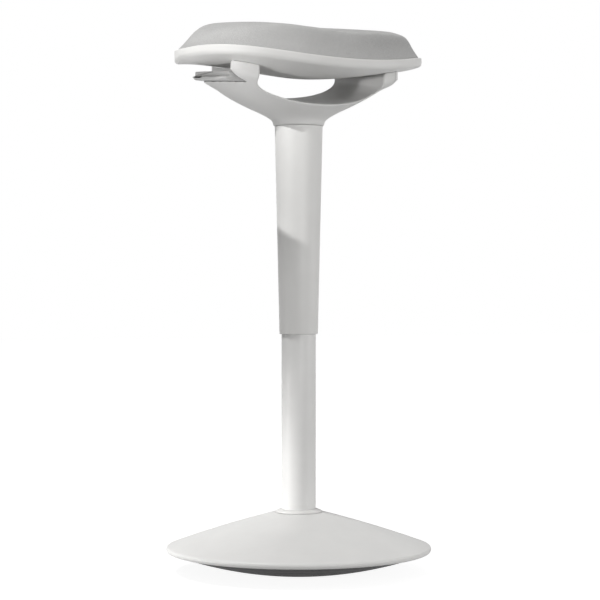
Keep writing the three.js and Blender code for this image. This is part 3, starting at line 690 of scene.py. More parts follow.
def sole_outline():
    pitch = (SOLE_TURN_RADIUS - SOLE_FOOT_RADIUS) / (GROOVE_COUNT + 1)
    under = [(0, 0), (SOLE_FOOT_RADIUS, 0)]
    for i in range(GROOVE_COUNT):
        radius = SOLE_FOOT_RADIUS + pitch * (i + 1)
        for side, depth in ((-1, 0), (-0.8, 1), (0.8, 1), (1, 0)):
            place = radius + side * GROOVE_WIDTH / 2
            under.append((place, sole_under(place) + depth * GROOVE_DEPTH))
    under.append((SOLE_TURN_RADIUS, sole_under(SOLE_TURN_RADIUS)))
    edge = round_corner(under[-1], (SOLE_RADIUS, SOLE_EDGE_HEIGHT),
                        (SOLE_RADIUS, SOLE_EDGE_HEIGHT + SOLE_THICKNESS), 1.5 * MM)
    upper = [(SOLE_RADIUS, SOLE_EDGE_HEIGHT + SOLE_THICKNESS)]
    for i in range(GROOVE_COUNT + 1, -1, -1):
        radius = SOLE_FOOT_RADIUS + pitch * i
        upper.append((radius, sole_under(radius) + SOLE_THICKNESS))
    return [*under, *edge, *upper, (0, SOLE_THICKNESS)]


sole_mesh = turned_mesh(sole_outline(), sole_rubber, closed=False)
place_piece("grip_sole", sole_mesh, sole_rubber, "base", "rubber_sole")

# %% [markdown]
# A trim collar closes the gap between the cover and the tube. The tube itself is plain, with a small
# round at its mouth, and the sleeve that slides over it widens upwards to meet the yoke.

# %% Collar, tube and sleeve
COLLAR_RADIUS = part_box("base_collar")[1].x
COLLAR_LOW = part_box("base_collar")[0].z
COLLAR_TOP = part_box("base_collar")[1].z
TUBE_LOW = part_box("lower_tube")[0].z
TUBE_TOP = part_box("lower_tube")[1].z
TUBE_WALL = 2.5 * MM
TUBE_FLOOR_LIFT = 12 * MM
TUBE_FLOOR = 5 * MM
ROD_HOLE = 5.5 * MM
SLEEVE_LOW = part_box("upper_sleeve")[0].z
SLEEVE_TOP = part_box("upper_sleeve")[1].z
SLEEVE_TOP_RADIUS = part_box("upper_sleeve")[1].x
SLEEVE_FOOT_RADIUS = TUBE_RADIUS + 3.1 * MM
SLEEVE_WALL = 2.2 * MM
SPIGOT_RADIUS = SLEEVE_TOP_RADIUS - 3.8 * MM
SPIGOT_LENGTH = 44 * MM


def collar_outline():
    bore = TUBE_RADIUS + CLEARANCE
    skirt = bore + COLLAR_WALL
    seat = COVER_TOP + CLEARANCE
    waist = (seat + COLLAR_TOP) / 2
    return [
        (bore, COLLAR_LOW, 0), (skirt, COLLAR_LOW, 0.3 * MM), (skirt, seat, 0),
        (COLLAR_RADIUS, seat, 0.5 * MM), (COLLAR_RADIUS, waist, 1.2 * MM),
        (skirt, COLLAR_TOP, 0.9 * MM), (bore, COLLAR_TOP, 0.4 * MM),
    ]


def tube_outline():
    bore = TUBE_RADIUS - TUBE_WALL
    floor = TUBE_LOW + TUBE_FLOOR_LIFT
    return [
        (TUBE_RADIUS, TUBE_LOW, 0.5 * MM), (TUBE_RADIUS, TUBE_TOP, 0.9 * MM), (bore, TUBE_TOP, 0.9 * MM),
        (bore, floor + TUBE_FLOOR, 1 * MM), (ROD_HOLE, floor + TUBE_FLOOR, 0.4 * MM),
        (ROD_HOLE, floor, 0.4 * MM), (bore, floor, 1 * MM), (bore, TUBE_LOW, 0.5 * MM),
    ]


def sleeve_outline():
    inner = SPIGOT_RADIUS + CLEARANCE
    return [
        (SLEEVE_FOOT_RADIUS - SLEEVE_WALL, SLEEVE_LOW, 0.5 * MM), (SLEEVE_FOOT_RADIUS, SLEEVE_LOW, 1 * MM),
        (SLEEVE_TOP_RADIUS, SLEEVE_TOP, 0.8 * MM), (inner, SLEEVE_TOP, 0.3 * MM),
        (inner, SLEEVE_TOP + CLEARANCE - SPIGOT_LENGTH, 0.5 * MM),
    ]


for name, outline, finish, body, solid in (
    ("trim_collar", collar_outline(), white_plastic, "base", "base_collar"),
    ("column_tube", tube_outline(), tube_paint, "base", "lower_tube"),
    ("tapered_sleeve", sleeve_outline(), white_plastic, "seat", "upper_sleeve"),
):
    place_piece(name, turned_mesh(rounded_outline(outline), finish), finish, body, solid)

# %% [markdown]
# The seat's plan is a rounded rectangle whose outline follows a power law, and both the tray's rim and
# the hull under it are smooth functions of the place in that plan. "Across" and "ahead" run from minus
# one to one. The yoke, the lever, the tray and the cushion all ask these functions where the seat is.

# %% The seat's surfaces
SEAT_HALF_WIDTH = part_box("seat_shell")[1].x
SEAT_HALF_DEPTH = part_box("seat_shell")[1].y
SEAT_SQUARENESS = 2.1
SHOULDER = SLEEVE_TOP + CLEARANCE
BELLY = SHOULDER + 69 * MM
BELLY_SLOPE_SHARE = 0.1
HULL_POWER = 1.1
HULL_ROUND_SHARE = 0.25
RIM_SIDE_RISE = 35 * MM
RIM_FRONT_DIP = 21.5 * MM
RIM_FRONT_POWER = 3
RIM_BACK_RISE = 15 * MM
RIM_BACK_POWER = 1.6
RIM_DEPTH = 13 * MM
EAR_DEPTH = 7 * MM
EAR_AHEAD_SHARE = -0.45
EAR_REACH_SHARE = 0.3
EAR_SHARPNESS = 4


def rim_top(ahead):
    front, back = np.maximum(ahead, 0.0), np.maximum(-ahead, 0.0)
    side = BELLY + RIM_SIDE_RISE
    return side - RIM_FRONT_DIP * front**RIM_FRONT_POWER + RIM_BACK_RISE * back**RIM_BACK_POWER


def hull_height(share, ahead):
    """The hull's underside at a share of the way out, where ahead is taken at the rim."""
    def bend(value):
        return (value**2 + HULL_ROUND_SHARE**2) ** (HULL_POWER / 2) - HULL_ROUND_SHARE**HULL_POWER

    belly = BELLY - BELLY_SLOPE_SHARE * SEAT_HALF_DEPTH * ahead * share
    ear = np.maximum(0.0, 1 - ((ahead - EAR_AHEAD_SHARE) / EAR_REACH_SHARE) ** 2)
    edge = rim_top(ahead) - RIM_DEPTH - EAR_DEPTH * ear * share**EAR_SHARPNESS
    return belly + (edge - belly) * bend(share) / bend(1.0)


def hull_at(x, y):
    """The hull's underside over any point of the plan."""
    across, ahead = np.abs(x / SEAT_HALF_WIDTH), -y / SEAT_HALF_DEPTH
    power = SEAT_SQUARENESS
    share = (across**power + np.abs(ahead) ** power) ** (1 / power) + 1e-9
    return hull_height(share, ahead / share)


print("hull at the middle:", round(float(hull_at(np.array(0.0), np.array(0.0))), 4))

# %% [markdown]
# The yoke, its end cap and the hand lever are moulded solids with generous fillets, which is hard to reach
# by cutting meshes and bevelling what is left. A distance field does it well. It gives for any point how
# far it lies outside the solid, and solids are joined or cut by comparing distances, with a round where
# two of them meet. The surface is then drawn where the distance is zero.

# %% Distance fields
def meet(first, second, radius=0.0):
    """The common part of two solids, its new edges rounded."""
    if radius == 0:
        return np.maximum(first, second)
    outside = np.hypot(np.maximum(first + radius, 0), np.maximum(second + radius, 0))
    return np.minimum(np.maximum(first, second), -radius) + outside


def without(solid, tool, radius=0.0):
    """A solid cut by a tool, the cut's edges rounded."""
    return meet(solid, -tool, radius)


def joined(first, second, radius):
    """Two solids as one, with a fillet in the inner corner."""
    return -meet(-first, -second, radius)


def box_field(p, low, high, radius=0.0):
    """A box. None leaves a side open."""
    field = None
    for axis in range(3):
        for side, bound in ((-1, low[axis]), (1, high[axis])):
            if bound is None:
                continue
            face = side * (p[axis] - bound)
            field = face if field is None else meet(field, face, radius)
    return field


def bar_field(p, axis, place, radius, low=None, high=None):
    """A round bar along an axis, through a place in the plane of the other two."""
    others = [k for k in range(3) if k != axis]
    field = np.hypot(p[others[0]] - place[0], p[others[1]] - place[1]) - radius
    if low is not None:
        field = np.maximum(field, low - p[axis])
    if high is not None:
        field = np.maximum(field, p[axis] - high)
    return field


print("corner of two walls, rounded:", round(float(meet(np.array(0.0), np.array(0.0), 1.0)), 3))

# %% [markdown]
# To draw the surface, space is cut into small cells. Each cell that the surface crosses gets one point, at
# the mean of the places where its edges cross, and the points of neighbouring cells are joined by four-
# sided faces. Two steps along the field's slope then pull each point exactly onto the surface.

# %% Drawing a field's surface
CELL_EDGES = [(a, b) for a in range(8) for b in range(a + 1, 8) if bin(a ^ b).count("1") == 1]
PULL_STEPS = 2


def corner_offset(corner):
    return np.array([corner >> 2 & 1, corner >> 1 & 1, corner & 1])


def cell_slices(offset, shape):
    return tuple(slice(o, n - 1 + o) for o, n in zip(offset, shape))


def slope_of(field, points, step):
    slopes = []
    for axis in range(3):
        shift = np.zeros((3, 1))
        shift[axis] = step
        slopes.append((field(points + shift) - field(points - shift)) / (2 * step))
    return np.array(slopes)


def quads_of(level, ids):
    """The faces: one for each grid edge that crosses the surface."""
    faces = []
    for axis in range(3):
        ahead = np.roll(level, -1, axis)
        crossing = (level < 0) != (ahead < 0)
        rim = [slice(1, -1)] * 3
        rim[axis] = slice(0, -1)
        mask = np.zeros_like(crossing)
        mask[tuple(rim)] = crossing[tuple(rim)]
        at = np.argwhere(mask)
        side_a, side_b = [np.eye(3, dtype=int)[k] for k in range(3) if k != axis]
        around = [at, at - side_a, at - side_a - side_b, at - side_b]
        quad = np.stack([ids[tuple(place.T)] for place in around], axis=1)
        leaving = level[tuple(at.T)] < 0
        flip = leaving if axis != 1 else ~leaving
        quad[flip] = quad[flip][:, ::-1]
        faces.append(quad)
    return np.concatenate(faces)


def field_mesh(field, low, high, step):
    """A closed mesh of the field's zero surface inside a box."""
    axes = [np.arange(a - 1.5 * step, b + 2.5 * step, step) for a, b in zip(low, high)]
    level = field(np.array(np.meshgrid(*axes, indexing="ij")))
    shape = level.shape
    inside = sum((level[cell_slices(corner_offset(c), shape)] < 0).astype(int) for c in range(8))
    cells = np.argwhere((inside > 0) & (inside < 8))
    ids = np.full(shape, -1)
    ids[tuple(cells.T)] = np.arange(len(cells))
    origin = np.array([axis[0] for axis in axes])
    total, count = np.zeros((len(cells), 3)), np.zeros(len(cells))
    for a, b in CELL_EDGES:
        start, end = corner_offset(a), corner_offset(b)
        at_start, at_end = level[tuple((cells + start).T)], level[tuple((cells + end).T)]
        cross = (at_start < 0) != (at_end < 0)
        way = np.where(cross, at_start / np.where(cross, at_start - at_end, 1), 0)
        total += np.where(cross[:, None], start + way[:, None] * (end - start), 0)
        count += cross
    points = (origin + (cells + total / count[:, None]) * step).T
    for _ in range(PULL_STEPS):
        slope = slope_of(field, points, 0.1 * step)
        pull = field(points) * slope / np.maximum((slope**2).sum(0), 0.2)
        points = points - np.clip(pull, -0.5 * step, 0.5 * step)
    mesh = bpy.data.meshes.new("field")
    mesh.from_pydata(points.T.tolist(), [], quads_of(level, ids).tolist())
    mesh.validate()
    return tidy_mesh(mesh)


STEP_FACTOR = 1.0
print("cell edges:", len(CELL_EDGES))

# %% [markdown]
# The yoke grows from a round shoulder into two wide arms. Its level sections are rounded rectangles that
# widen and square up on the way, so their width, depth and squareness are smooth curves of the height.
# The distance to such a form is found from its level function, divided by that function's slope.

# %% The arms' form
YOKE_HALF_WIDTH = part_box("arm_end_cap")[1].x
YOKE_HALF_DEPTH = 77 * MM
YOKE_HEIGHT = 71 * MM
LEVEL_SHARES = [0, 0.13, 0.25, 0.38, 0.51, 0.62, 0.75, 0.87, 1]
WIDTH_SHARES = [0.254, 0.28, 0.361, 0.479, 0.591, 0.676, 0.778, 0.915, 1]
DEPTH_SHARES = [0.468, 0.51, 0.66, 0.83, 0.95, 1, 1, 0.985, 0.97]
SQUARENESSES = [2, 2.1, 2.4, 2.9, 3.5, 4.2, 5, 5, 5]
SLOPE_STEP = 0.3 * MM


def smooth_through(places, values, at):
    """A smooth curve through values: a cubic on each stretch, with the slope of its neighbours."""
    places, values = np.array(places, float), np.array(values, float)
    slopes = np.gradient(values, places)
    at = np.clip(at, places[0], places[-1])
    i = np.clip(np.searchsorted(places, at, side="right") - 1, 0, len(places) - 2)
    gap = places[i + 1] - places[i]
    t = (at - places[i]) / gap
    rise = values[i + 1] - values[i]
    a, b = slopes[i] * gap - rise, rise - slopes[i + 1] * gap
    return values[i] + rise * t + t * (1 - t) * (a * (1 - t) + b * t)


def arm_level(p):
    """Below one inside the arms' outer form, above one outside it."""
    share = (p[2] - SHOULDER) / YOKE_HEIGHT
    width = YOKE_HALF_WIDTH * smooth_through(LEVEL_SHARES, WIDTH_SHARES, share)
    depth = YOKE_HALF_DEPTH * smooth_through(LEVEL_SHARES, DEPTH_SHARES, share)
    power = smooth_through(LEVEL_SHARES, SQUARENESSES, share)
    return (np.abs(p[0] / width) ** power + np.abs(p[1] / depth) ** power) ** (1 / power)


def arm_field(p):
    level = arm_level(p)
    slope = np.zeros_like(level)
    for axis in range(3):
        moved = list(p)
        moved[axis] = p[axis] + SLOPE_STEP
        slope += ((arm_level(moved) - level) / SLOPE_STEP) ** 2
    return (level - 1) / np.sqrt(slope + 1e-6)


print("arms reach", YOKE_HALF_WIDTH, "at the top")

# %% [markdown]
# The see-through eye is half an oval, open upwards to the seat, and it rises a little towards the back.
# The left arm's end has a bay for the hand lever, and the right arm's end a shelf for its cap. Inside
# are the cone seat for the gas spring, the pocket for the rocker, the cable's bore and the pin holes.

# %% Yoke
EYE_HALF_WIDTH = 103 * MM
EYE_DEPTH = 32 * MM
EYE_SLOPE = 0.15
EYE_ROUND = 3.2 * MM
BAY_INNER = YOKE_HALF_WIDTH - 37 * MM
BAY_FRONT = 48 * MM
BAY_BACK = 61 * MM
BAY_FLOOR = BELLY - 9.8 * MM
BAY_LUG = 11 * MM
BAY_CORNER_ROUND = 1.2 * MM
BAY_RISE = math.radians(5)
LEVER_PIN_ACROSS = -BAY_INNER - 6 * MM
LEVER_PIN_HEIGHT = BAY_FLOOR + 6.2 * MM
LEVER_PIN_RADIUS = 2.5 * MM
LEVER_PIN_HOLD = 6 * MM
CAP_INNER = YOKE_HALF_WIDTH - 16 * MM
SEAM_ROUND = 0.7 * MM
EDGE_ROUND = 1.6 * MM
CONE_FOOT_RADIUS = 14.3 * MM
CONE_TOP_RADIUS = 12.9 * MM
CONE_FOOT = SHOULDER - SPIGOT_LENGTH
CONE_TOP = SHOULDER + 2 * MM
POCKET_LEFT = 27 * MM
POCKET_RIGHT = 12 * MM
POCKET_HALF_DEPTH = 12 * MM
POCKET_HEIGHT = 24 * MM
PIN_CLEARANCE = 0.3 * MM
CABLE_BORE = 2.5 * MM
CABLE_OVERRUN = 2 * MM
CABLE_PLACES = 24
CABLE_NEAR = 5 * MM
SCREW_HOLE = 3 * MM


def middle(name):
    low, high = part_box(name)
    return (low + high) / 2


def rocker_pin_hole(p):
    low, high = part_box("rocker_pin")
    place, radius = (middle("rocker_pin").x, middle("rocker_pin").z), (high.z - low.z) / 2
    return bar_field(p, 1, place, radius + PIN_CLEARANCE, low.y - PIN_CLEARANCE, high.y + PIN_CLEARANCE)


def levelled(p):
    """The places as seen by the bay, which rises towards the back about the lever pin's middle."""
    up, cosine, sine = p[2] - LEVER_PIN_HEIGHT, math.cos(BAY_RISE), math.sin(BAY_RISE)
    return np.array([p[0], p[1] * cosine + up * sine, LEVER_PIN_HEIGHT + up * cosine - p[1] * sine])


def lever_pin_hole(q, overrun):
    """The lever pin's hole, for places already levelled to the bay."""
    place = (LEVER_PIN_ACROSS, LEVER_PIN_HEIGHT)
    radius = LEVER_PIN_RADIUS + PIN_CLEARANCE
    return bar_field(q, 1, place, radius, -BAY_FRONT - overrun, BAY_BACK + overrun)


def under_seat(p, gap):
    """Positive where a point is above the seat's hull, less a gap."""
    return p[2] - hull_at(p[0], p[1]) + gap


def eye_field(p):
    down = np.minimum(p[2] - BELLY - EYE_SLOPE * p[1], 0)
    level = np.hypot(p[0] / EYE_HALF_WIDTH, down / EYE_DEPTH) + 1e-9
    slope = np.hypot(p[0] / EYE_HALF_WIDTH**2, down / EYE_DEPTH**2 * math.hypot(1, EYE_SLOPE)) / level
    return (level - 1) / np.maximum(slope, 1e-3)


def cable_field(p):
    """The cable's bore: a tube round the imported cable's own middle line."""
    solid = frame["nodes"]["release_cable"].data
    places = np.array([v.co for v in solid.vertices])
    order = np.linspace(places[:, 0].min(), places[:, 0].max(), CABLE_PLACES)
    heights = [places[np.abs(places[:, 0] - x) < CABLE_NEAR, 2].mean() for x in order]
    line = np.interp(p[0], order, heights)
    lean = np.interp(p[0], order, np.cos(np.arctan(np.gradient(heights, order))))
    tube = np.hypot(p[1], (p[2] - line) * lean) - CABLE_BORE
    return np.maximum(tube, np.maximum(order[0] - CABLE_OVERRUN - p[0], p[0] - order[-1]))


def yoke_field(p):
    solid = meet(arm_field(p), SHOULDER - p[2], EDGE_ROUND)
    solid = meet(solid, under_seat(p, CLEARANCE), SEAM_ROUND)
    solid = without(solid, eye_field(p), EYE_ROUND)
    q = levelled(p)
    bay = box_field(q, (None, -BAY_FRONT, BAY_FLOOR), (-BAY_INNER, BAY_BACK, None), BAY_CORNER_ROUND)
    lug_space = box_field(q, (None, BAY_BACK - CLEARANCE, BAY_FLOOR + BAY_LUG), (-BAY_INNER, None, None))
    solid = without(without(solid, bay, EDGE_ROUND), lug_space, SEAM_ROUND)
    solid = without(solid, box_field(p, (CAP_INNER, None, BAY_FLOOR), (None, None, None)), SEAM_ROUND)
    spigot = bar_field(p, 2, (0, 0), SPIGOT_RADIUS, CONE_FOOT, SHOULDER + CLEARANCE)
    solid = np.minimum(solid, spigot)
    taper = np.interp(p[2], (CONE_FOOT, CONE_TOP), (CONE_FOOT_RADIUS, CONE_TOP_RADIUS))
    cone = np.maximum(np.hypot(p[0], p[1]) - taper, p[2] - SHOULDER - POCKET_HEIGHT / 2)
    pocket = box_field(p, (-POCKET_LEFT, -POCKET_HALF_DEPTH, SHOULDER),
                       (POCKET_RIGHT, POCKET_HALF_DEPTH, SHOULDER + POCKET_HEIGHT))
    holes = np.minimum(np.minimum(cone, pocket), np.minimum(cable_field(p), rocker_pin_hole(p)))
    holes = np.minimum(holes, lever_pin_hole(q, LEVER_PIN_HOLD + PIN_CLEARANCE))
    for i in range(4):
        name = f"seat_screw_{i + 1}"
        shank = bar_field(p, 2, middle(name)[:2], SCREW_HOLE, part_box(name)[0].z - CLEARANCE)
        holes = np.minimum(holes, shank)
    return without(solid, holes)


YOKE_STEP = 1.5 * MM
yoke_mesh = field_mesh(yoke_field, *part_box("yoke"), YOKE_STEP * STEP_FACTOR)
place_piece("moulded_yoke", yoke_mesh, yoke_plastic, "seat", "yoke")

# %% [markdown]
# The end cap closes the right arm. It has the arm's own outer form, and a fine seam all round.

# %% End cap
CAP_STEP = 0.9 * MM


def cap_field(p):
    solid = meet(arm_field(p), under_seat(p, CLEARANCE), SEAM_ROUND)
    room = box_field(p, (CAP_INNER + CLEARANCE, None, BAY_FLOOR + CLEARANCE), (None, None, None))
    return meet(solid, room, SEAM_ROUND)


cap_mesh = field_mesh(cap_field, *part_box("arm_end_cap"), CAP_STEP * STEP_FACTOR)
place_piece("arm_cap", cap_mesh, yoke_plastic, "seat", "arm_end_cap")

# %% [markdown]
# The hand lever fills the bay. Its upper bar stands a little proud of the arm, and a lip under it, which
# the fingers pull, stands out further. Both follow the arm's outline, so the lever looks grown from it.

# %% Hand lever
LEVER_FLOOR = BAY_FLOOR + 1 * MM
LEVER_THICKNESS = 12 * MM
LEVER_END_GAP = 1.2 * MM
LEVER_SIDE_GAP = 0.5 * MM
LEVER_LIP = 4.9 * MM
LEVER_REACH = 4 * MM
LEVER_LIP_REACH = 7 * MM
LEVER_ROUND = 1.5 * MM
LEVER_CORNER_ROUND = 0.8 * MM
LEVER_FILLET = 1.2 * MM
LEVER_SEAT_GAP = 1.5 * MM
LEVER_TOP_ROUND = 1 * MM
LEVER_HOLE_OVERRUN = 30 * MM
LEVER_STEP = 0.8 * MM


def lever_field(p):
    arms, q = arm_field(p), levelled(p)
    low = (None, LEVER_SIDE_GAP - BAY_FRONT, LEVER_FLOOR)
    inner, back = -BAY_INNER - LEVER_END_GAP, BAY_BACK - LEVER_SIDE_GAP - CLEARANCE
    steps = []
    for height, reach in ((LEVER_THICKNESS, LEVER_REACH), (LEVER_LIP, LEVER_LIP_REACH)):
        step = box_field(q, low, (inner, back, LEVER_FLOOR + height), LEVER_CORNER_ROUND)
        steps.append(meet(arms - reach, step, LEVER_ROUND))
    solid = joined(*steps, LEVER_FILLET)
    solid = meet(solid, under_seat(p, LEVER_SEAT_GAP), LEVER_TOP_ROUND)
    return without(solid, lever_pin_hole(q, LEVER_HOLE_OVERRUN))


lever_mesh = field_mesh(lever_field, *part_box("hand_lever"), LEVER_STEP * STEP_FACTOR)
place_piece("pull_lever", lever_mesh, lever_plastic, "lever", "hand_lever")

# %% [markdown]
# The seat tray is a thin moulded bowl. In each direction of the plan its section is the same chain of
# curves: out along the hull, round the lower edge, up the rim, over the lip and back along the inside. So
# the section is drawn once for each direction and the sections are joined side by side.

# %% Seat tray
TRAY_SIDES = 192
HULL_STEPS = 26
TRAY_WALL = 3 * MM
TRAY_RIM_WIDTH = 4 * MM
TRAY_EDGE_ROUND = 6 * MM
TRAY_LIP_ROUND = 3 * MM
HULL_START_SHARE = 0.04
LAST_HULL_SHARE = 0.95
TRAY_INNER_ROUND = 0.8 * MM
SCREW_HOLE_SIDES = 32
SCREW_HOLE_LENGTH = 60 * MM


def plan_directions(sides):
    """Points of the plan's outline, across and back from -1 to 1."""
    angles = 2 * math.pi * np.arange(sides) / sides
    cosine, sine = np.cos(angles), np.sin(angles)
    power = 2 / SEAT_SQUARENESS
    return np.sign(cosine) * np.abs(cosine) ** power, np.sign(sine) * np.abs(sine) ** power


def skinned_mesh(sections):
    """Joins closed sections, one for each direction, whose first and last points lie near the axis."""
    sides, count = len(sections), len(sections[0])
    points = [point for section in sections for point in section]
    faces = []
    for side in range(sides):
        here, there = side * count, (side + 1) % sides * count
        for i in range(count - 1):
            faces.append((here + i, there + i, there + i + 1, here + i + 1))
    for i in (0, count - 1):
        cap = [side * count + i for side in range(sides)]
        centre = len(points)
        points.append(tuple(np.mean([points[k] for k in cap], axis=0)))
        for a, b in zip(cap, cap[1:] + cap[:1]):
            faces.append((a, b, centre))
    mesh = bpy.data.meshes.new("skin")
    mesh.from_pydata([tuple(map(float, point)) for point in points], [], faces)
    return tidy_mesh(mesh)


def tray_section(across, back):
    """One direction's section as (way out, height), then turned into places."""
    ahead, reach = -back, math.hypot(SEAT_HALF_WIDTH * across, SEAT_HALF_DEPTH * back)
    shares = np.linspace(HULL_START_SHARE, 1, HULL_STEPS)
    outer = [(reach * s, float(hull_height(s, ahead)), 0) for s in shares if s < LAST_HULL_SHARE or s == 1]
    top = float(rim_top(ahead))
    inset = reach - TRAY_RIM_WIDTH
    inner = [(inset * s, float(hull_height(s, ahead)) + TRAY_WALL, 0) for s in reversed(shares)]
    outer[-1] = (*outer[-1][:2], TRAY_EDGE_ROUND)
    corners = [*outer, (reach, top, TRAY_LIP_ROUND), (inset, top, TRAY_INNER_ROUND), *inner]
    outline = rounded_outline(corners, closed=False)
    unit = np.array([SEAT_HALF_WIDTH * across, SEAT_HALF_DEPTH * back]) / reach
    return [(way * unit[0], way * unit[1], height) for way, height in outline]


def screw_hole_tool():
    """Four round bars where the seat screws pass."""
    work = bmesh.new()
    for i in range(4):
        low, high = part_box(f"seat_screw_{i + 1}")
        made = bmesh.ops.create_cone(work, cap_ends=True, segments=SCREW_HOLE_SIDES,
                                     radius1=SCREW_HOLE, radius2=SCREW_HOLE, depth=SCREW_HOLE_LENGTH)
        bmesh.ops.translate(work, verts=made["verts"], vec=(low + high) / 2)
    mesh = bpy.data.meshes.new("screw_holes")
    work.to_mesh(mesh)
    work.free()
    return linked("screw_holes", mesh)


def cut_mesh(mesh, tool):
    """The mesh with a tool's volume taken out."""
    host = linked("host", mesh)
    cutter = host.modifiers.new("cut", "BOOLEAN")
    cutter.operation = "DIFFERENCE"
    cutter.object = tool
    cutter.solver = "EXACT"
    return plain_mesh(host, tool)


tray = skinned_mesh([tray_section(*way) for way in zip(*plan_directions(TRAY_SIDES))])
place_piece("seat_tray", cut_mesh(tray, screw_hole_tool()), white_plastic, "seat", "seat_shell")

# %% [markdown]
# The cushion is foam under a tight cover. Its crown follows the rider: it dips along the middle, rises
# at the sides and falls towards the front. Its wall starts at the tray's lip and leans inwards, steep at
# the front and flatter at the back, and a small round leads from it onto the crown. The start shape is
# drawn from the same kind of sections as the tray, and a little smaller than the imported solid, so that
# the foam has room to swell.

# %% Cushion's start shape
CUSHION_SIDES = 144
CUSHION_EDGE = TRAY_RIM_WIDTH + 1.2 * MM
CUSHION_EDGE_LIFT = 1.5 * MM
CUSHION_ROUND = 8 * MM
CROWN_RISE = 74.5 * MM
CROWN_FRONT_FALL = 21.3 * MM
CROWN_BEND = 4.4 * MM
CROWN_SIDE_RISE = 16.2 * MM
CROWN_SIDE_FALL = 43 * MM
CROWN_SIDE_POWER = 3.67
CROWN_TWIST = 13.4 * MM
WALL_SLOPE = 1.32
WALL_FRONT_GAIN = 0.73
CUSHION_FLOOR_LIFT = 11.4 * MM
START_INSET = 3 * MM
FLOOR_STEPS = 16
WALL_STEPS = 4
CROWN_EDGE_STEPS = 25
CROWN_EDGE_CROWDING = 1.8
CROWN_MIDDLE_SHARE = 0.5
CROWN_MIDDLE_STEPS = 12


def crown_top(across, ahead):
    straight = BELLY + CROWN_RISE - CROWN_FRONT_FALL * ahead - CROWN_BEND * ahead**2
    side_fall = CROWN_SIDE_FALL * abs(across) ** CROWN_SIDE_POWER
    return straight - side_fall + (CROWN_SIDE_RISE + CROWN_TWIST * ahead) * across**2


def cushion_height(share, across, ahead):
    """The cover's height at a share of the way out, in the direction of a point of the rim."""
    crown = crown_top(across * share, ahead * share)
    width, depth = SEAT_HALF_WIDTH - CUSHION_EDGE, SEAT_HALF_DEPTH - CUSHION_EDGE
    climb = WALL_SLOPE * math.exp(WALL_FRONT_GAIN * ahead) * (1 - share)
    wall = float(rim_top(ahead)) + CUSHION_EDGE_LIFT + climb * math.hypot(width * across, depth * ahead)
    near = max(0.0, 1 - abs(wall - crown) / CUSHION_ROUND)
    return min(wall, crown) - near**2 * CUSHION_ROUND / 4


def cushion_section(across, back, inset):
    """One direction's section: the floor on the pan, the upright wall, the crown."""
    ahead = -back
    size = np.array([SEAT_HALF_WIDTH, SEAT_HALF_DEPTH]) - CUSHION_EDGE - inset
    floor_shares = np.linspace(HULL_START_SHARE, 1, FLOOR_STEPS)
    floor = [(s, float(hull_height(s, ahead)) + CUSHION_FLOOR_LIFT + inset) for s in floor_shares]
    ways = [(i / CROWN_EDGE_STEPS) ** CROWN_EDGE_CROWDING for i in range(CROWN_EDGE_STEPS + 1)]
    shares = [1 - CROWN_MIDDLE_SHARE * way for way in ways]
    shares += list(np.linspace(CROWN_MIDDLE_SHARE, HULL_START_SHARE, CROWN_MIDDLE_STEPS))[1:]
    cover = [(s, cushion_height(s, across, ahead) - inset) for s in shares]
    low, high = floor[-1][1], cover[0][1]
    wall = [(1.0, low + (high - low) * i / WALL_STEPS) for i in range(1, WALL_STEPS)]
    return [(size[0] * across * s, size[1] * back * s, height) for s, height in floor + wall + cover]


def cushion_mesh(inset):
    return skinned_mesh([cushion_section(*way, inset) for way in zip(*plan_directions(CUSHION_SIDES))])


start = cushion_mesh(START_INSET)
print("start shape:", len(start.polygons), "faces")

# %% [markdown]
# Cloth simulation gives the cover its life. The start shape is remeshed to even cells and blown up for a
# few frames by a slight pressure, so it bellies between its edges as real foam does. Remeshing blunts the
# edge at the lip, where the real cover is pulled tight. So only the swelling is taken from the cloth: it
# is read beside each point of a full-size cover with crisp edges, and moves that point a little.

# %% Swelling the cushion
SWELL_CELL = 5 * MM
SWELL_PRESSURE = 4.0
SWELL_FRAMES = 20
SWELL_CAP = 2.5 * MM
SWELL_NEAR = 6
EDGE_HOLD = 14 * MM


def points_of(mesh):
    flat = np.zeros(len(mesh.vertices) * 3)
    mesh.vertices.foreach_get("co", flat)
    return flat.reshape(-1, 3)


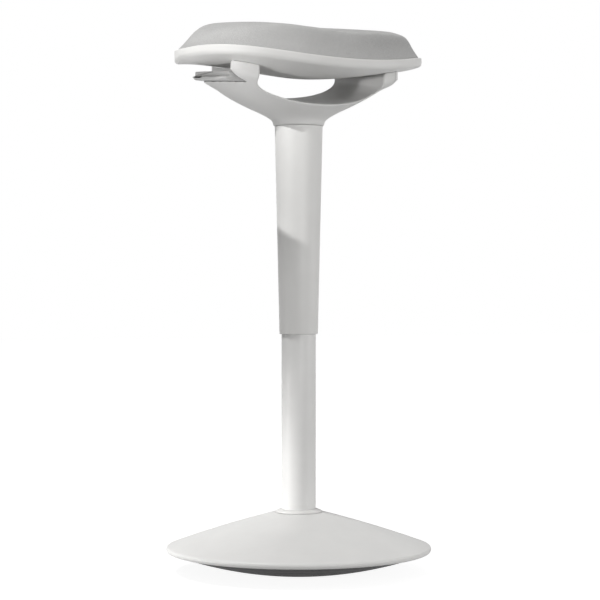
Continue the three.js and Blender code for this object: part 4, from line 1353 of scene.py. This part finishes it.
def swelling():
    """Places on the blown-up cloth and how far each has moved."""
    host = linked("cushion_host", start)
    remesh = host.modifiers.new("even", "REMESH")
    remesh.mode = "VOXEL"
    remesh.voxel_size = SWELL_CELL
    even = plain_mesh(host)
    host = linked("cushion_host", even)
    cloth = host.modifiers.new("swell", "CLOTH")
    cloth.settings.use_pressure = True
    cloth.settings.uniform_pressure_force = SWELL_PRESSURE
    cloth.settings.effector_weights.gravity = 0
    cloth.point_cache.frame_start = 1
    cloth.point_cache.frame_end = SWELL_FRAMES
    for moment in range(1, SWELL_FRAMES + 1):
        scene.frame_set(moment)
    swollen = plain_mesh(host)
    scene.frame_set(1)
    before = points_of(even)
    return before, points_of(swollen) - before


def swell(mesh):
    """Moves a full-size cover by the cloth's swelling, less and less towards its lower edge."""
    before, moved = swelling()
    near = kdtree.KDTree(len(before))
    for i, place in enumerate(before):
        near.insert(place, i)
    near.balance()
    mean = moved.mean(axis=0)
    places = points_of(mesh)
    ahead = -places[:, 1] / SEAT_HALF_DEPTH
    above = places[:, 2] - rim_top(np.clip(ahead, -1, 1))
    hold = np.clip(above / EDGE_HOLD, 0, 1)
    for i, place in enumerate(places):
        found = near.find_n(place, SWELL_NEAR)
        weight = np.array([1 / (distance + SWELL_CELL) for _, _, distance in found])
        shift = weight @ (moved[[k for _, k, _ in found]] - mean) / weight.sum()
        length = max(float(np.linalg.norm(shift)), 1e-9)
        places[i] += shift * min(1, SWELL_CAP / length) * hold[i]
    mesh.vertices.foreach_set("co", places.ravel())
    lengths = np.linalg.norm(moved - mean, axis=1)
    print(f"swelling: mean {lengths.mean() * 1000:.2f} mm, most {lengths.max() * 1000:.2f} mm")


def make_cushion():
    mesh = cushion_mesh(0.0)
    swell(mesh)
    host = linked("cushion_host", mesh)
    smooth = host.modifiers.new("fine", "SUBSURF")
    smooth.levels = smooth.render_levels = 1
    return tidy_mesh(plain_mesh(host))


cushion = place_piece("seat_cushion", make_cushion(), seat_fabric, "seat", "cushion")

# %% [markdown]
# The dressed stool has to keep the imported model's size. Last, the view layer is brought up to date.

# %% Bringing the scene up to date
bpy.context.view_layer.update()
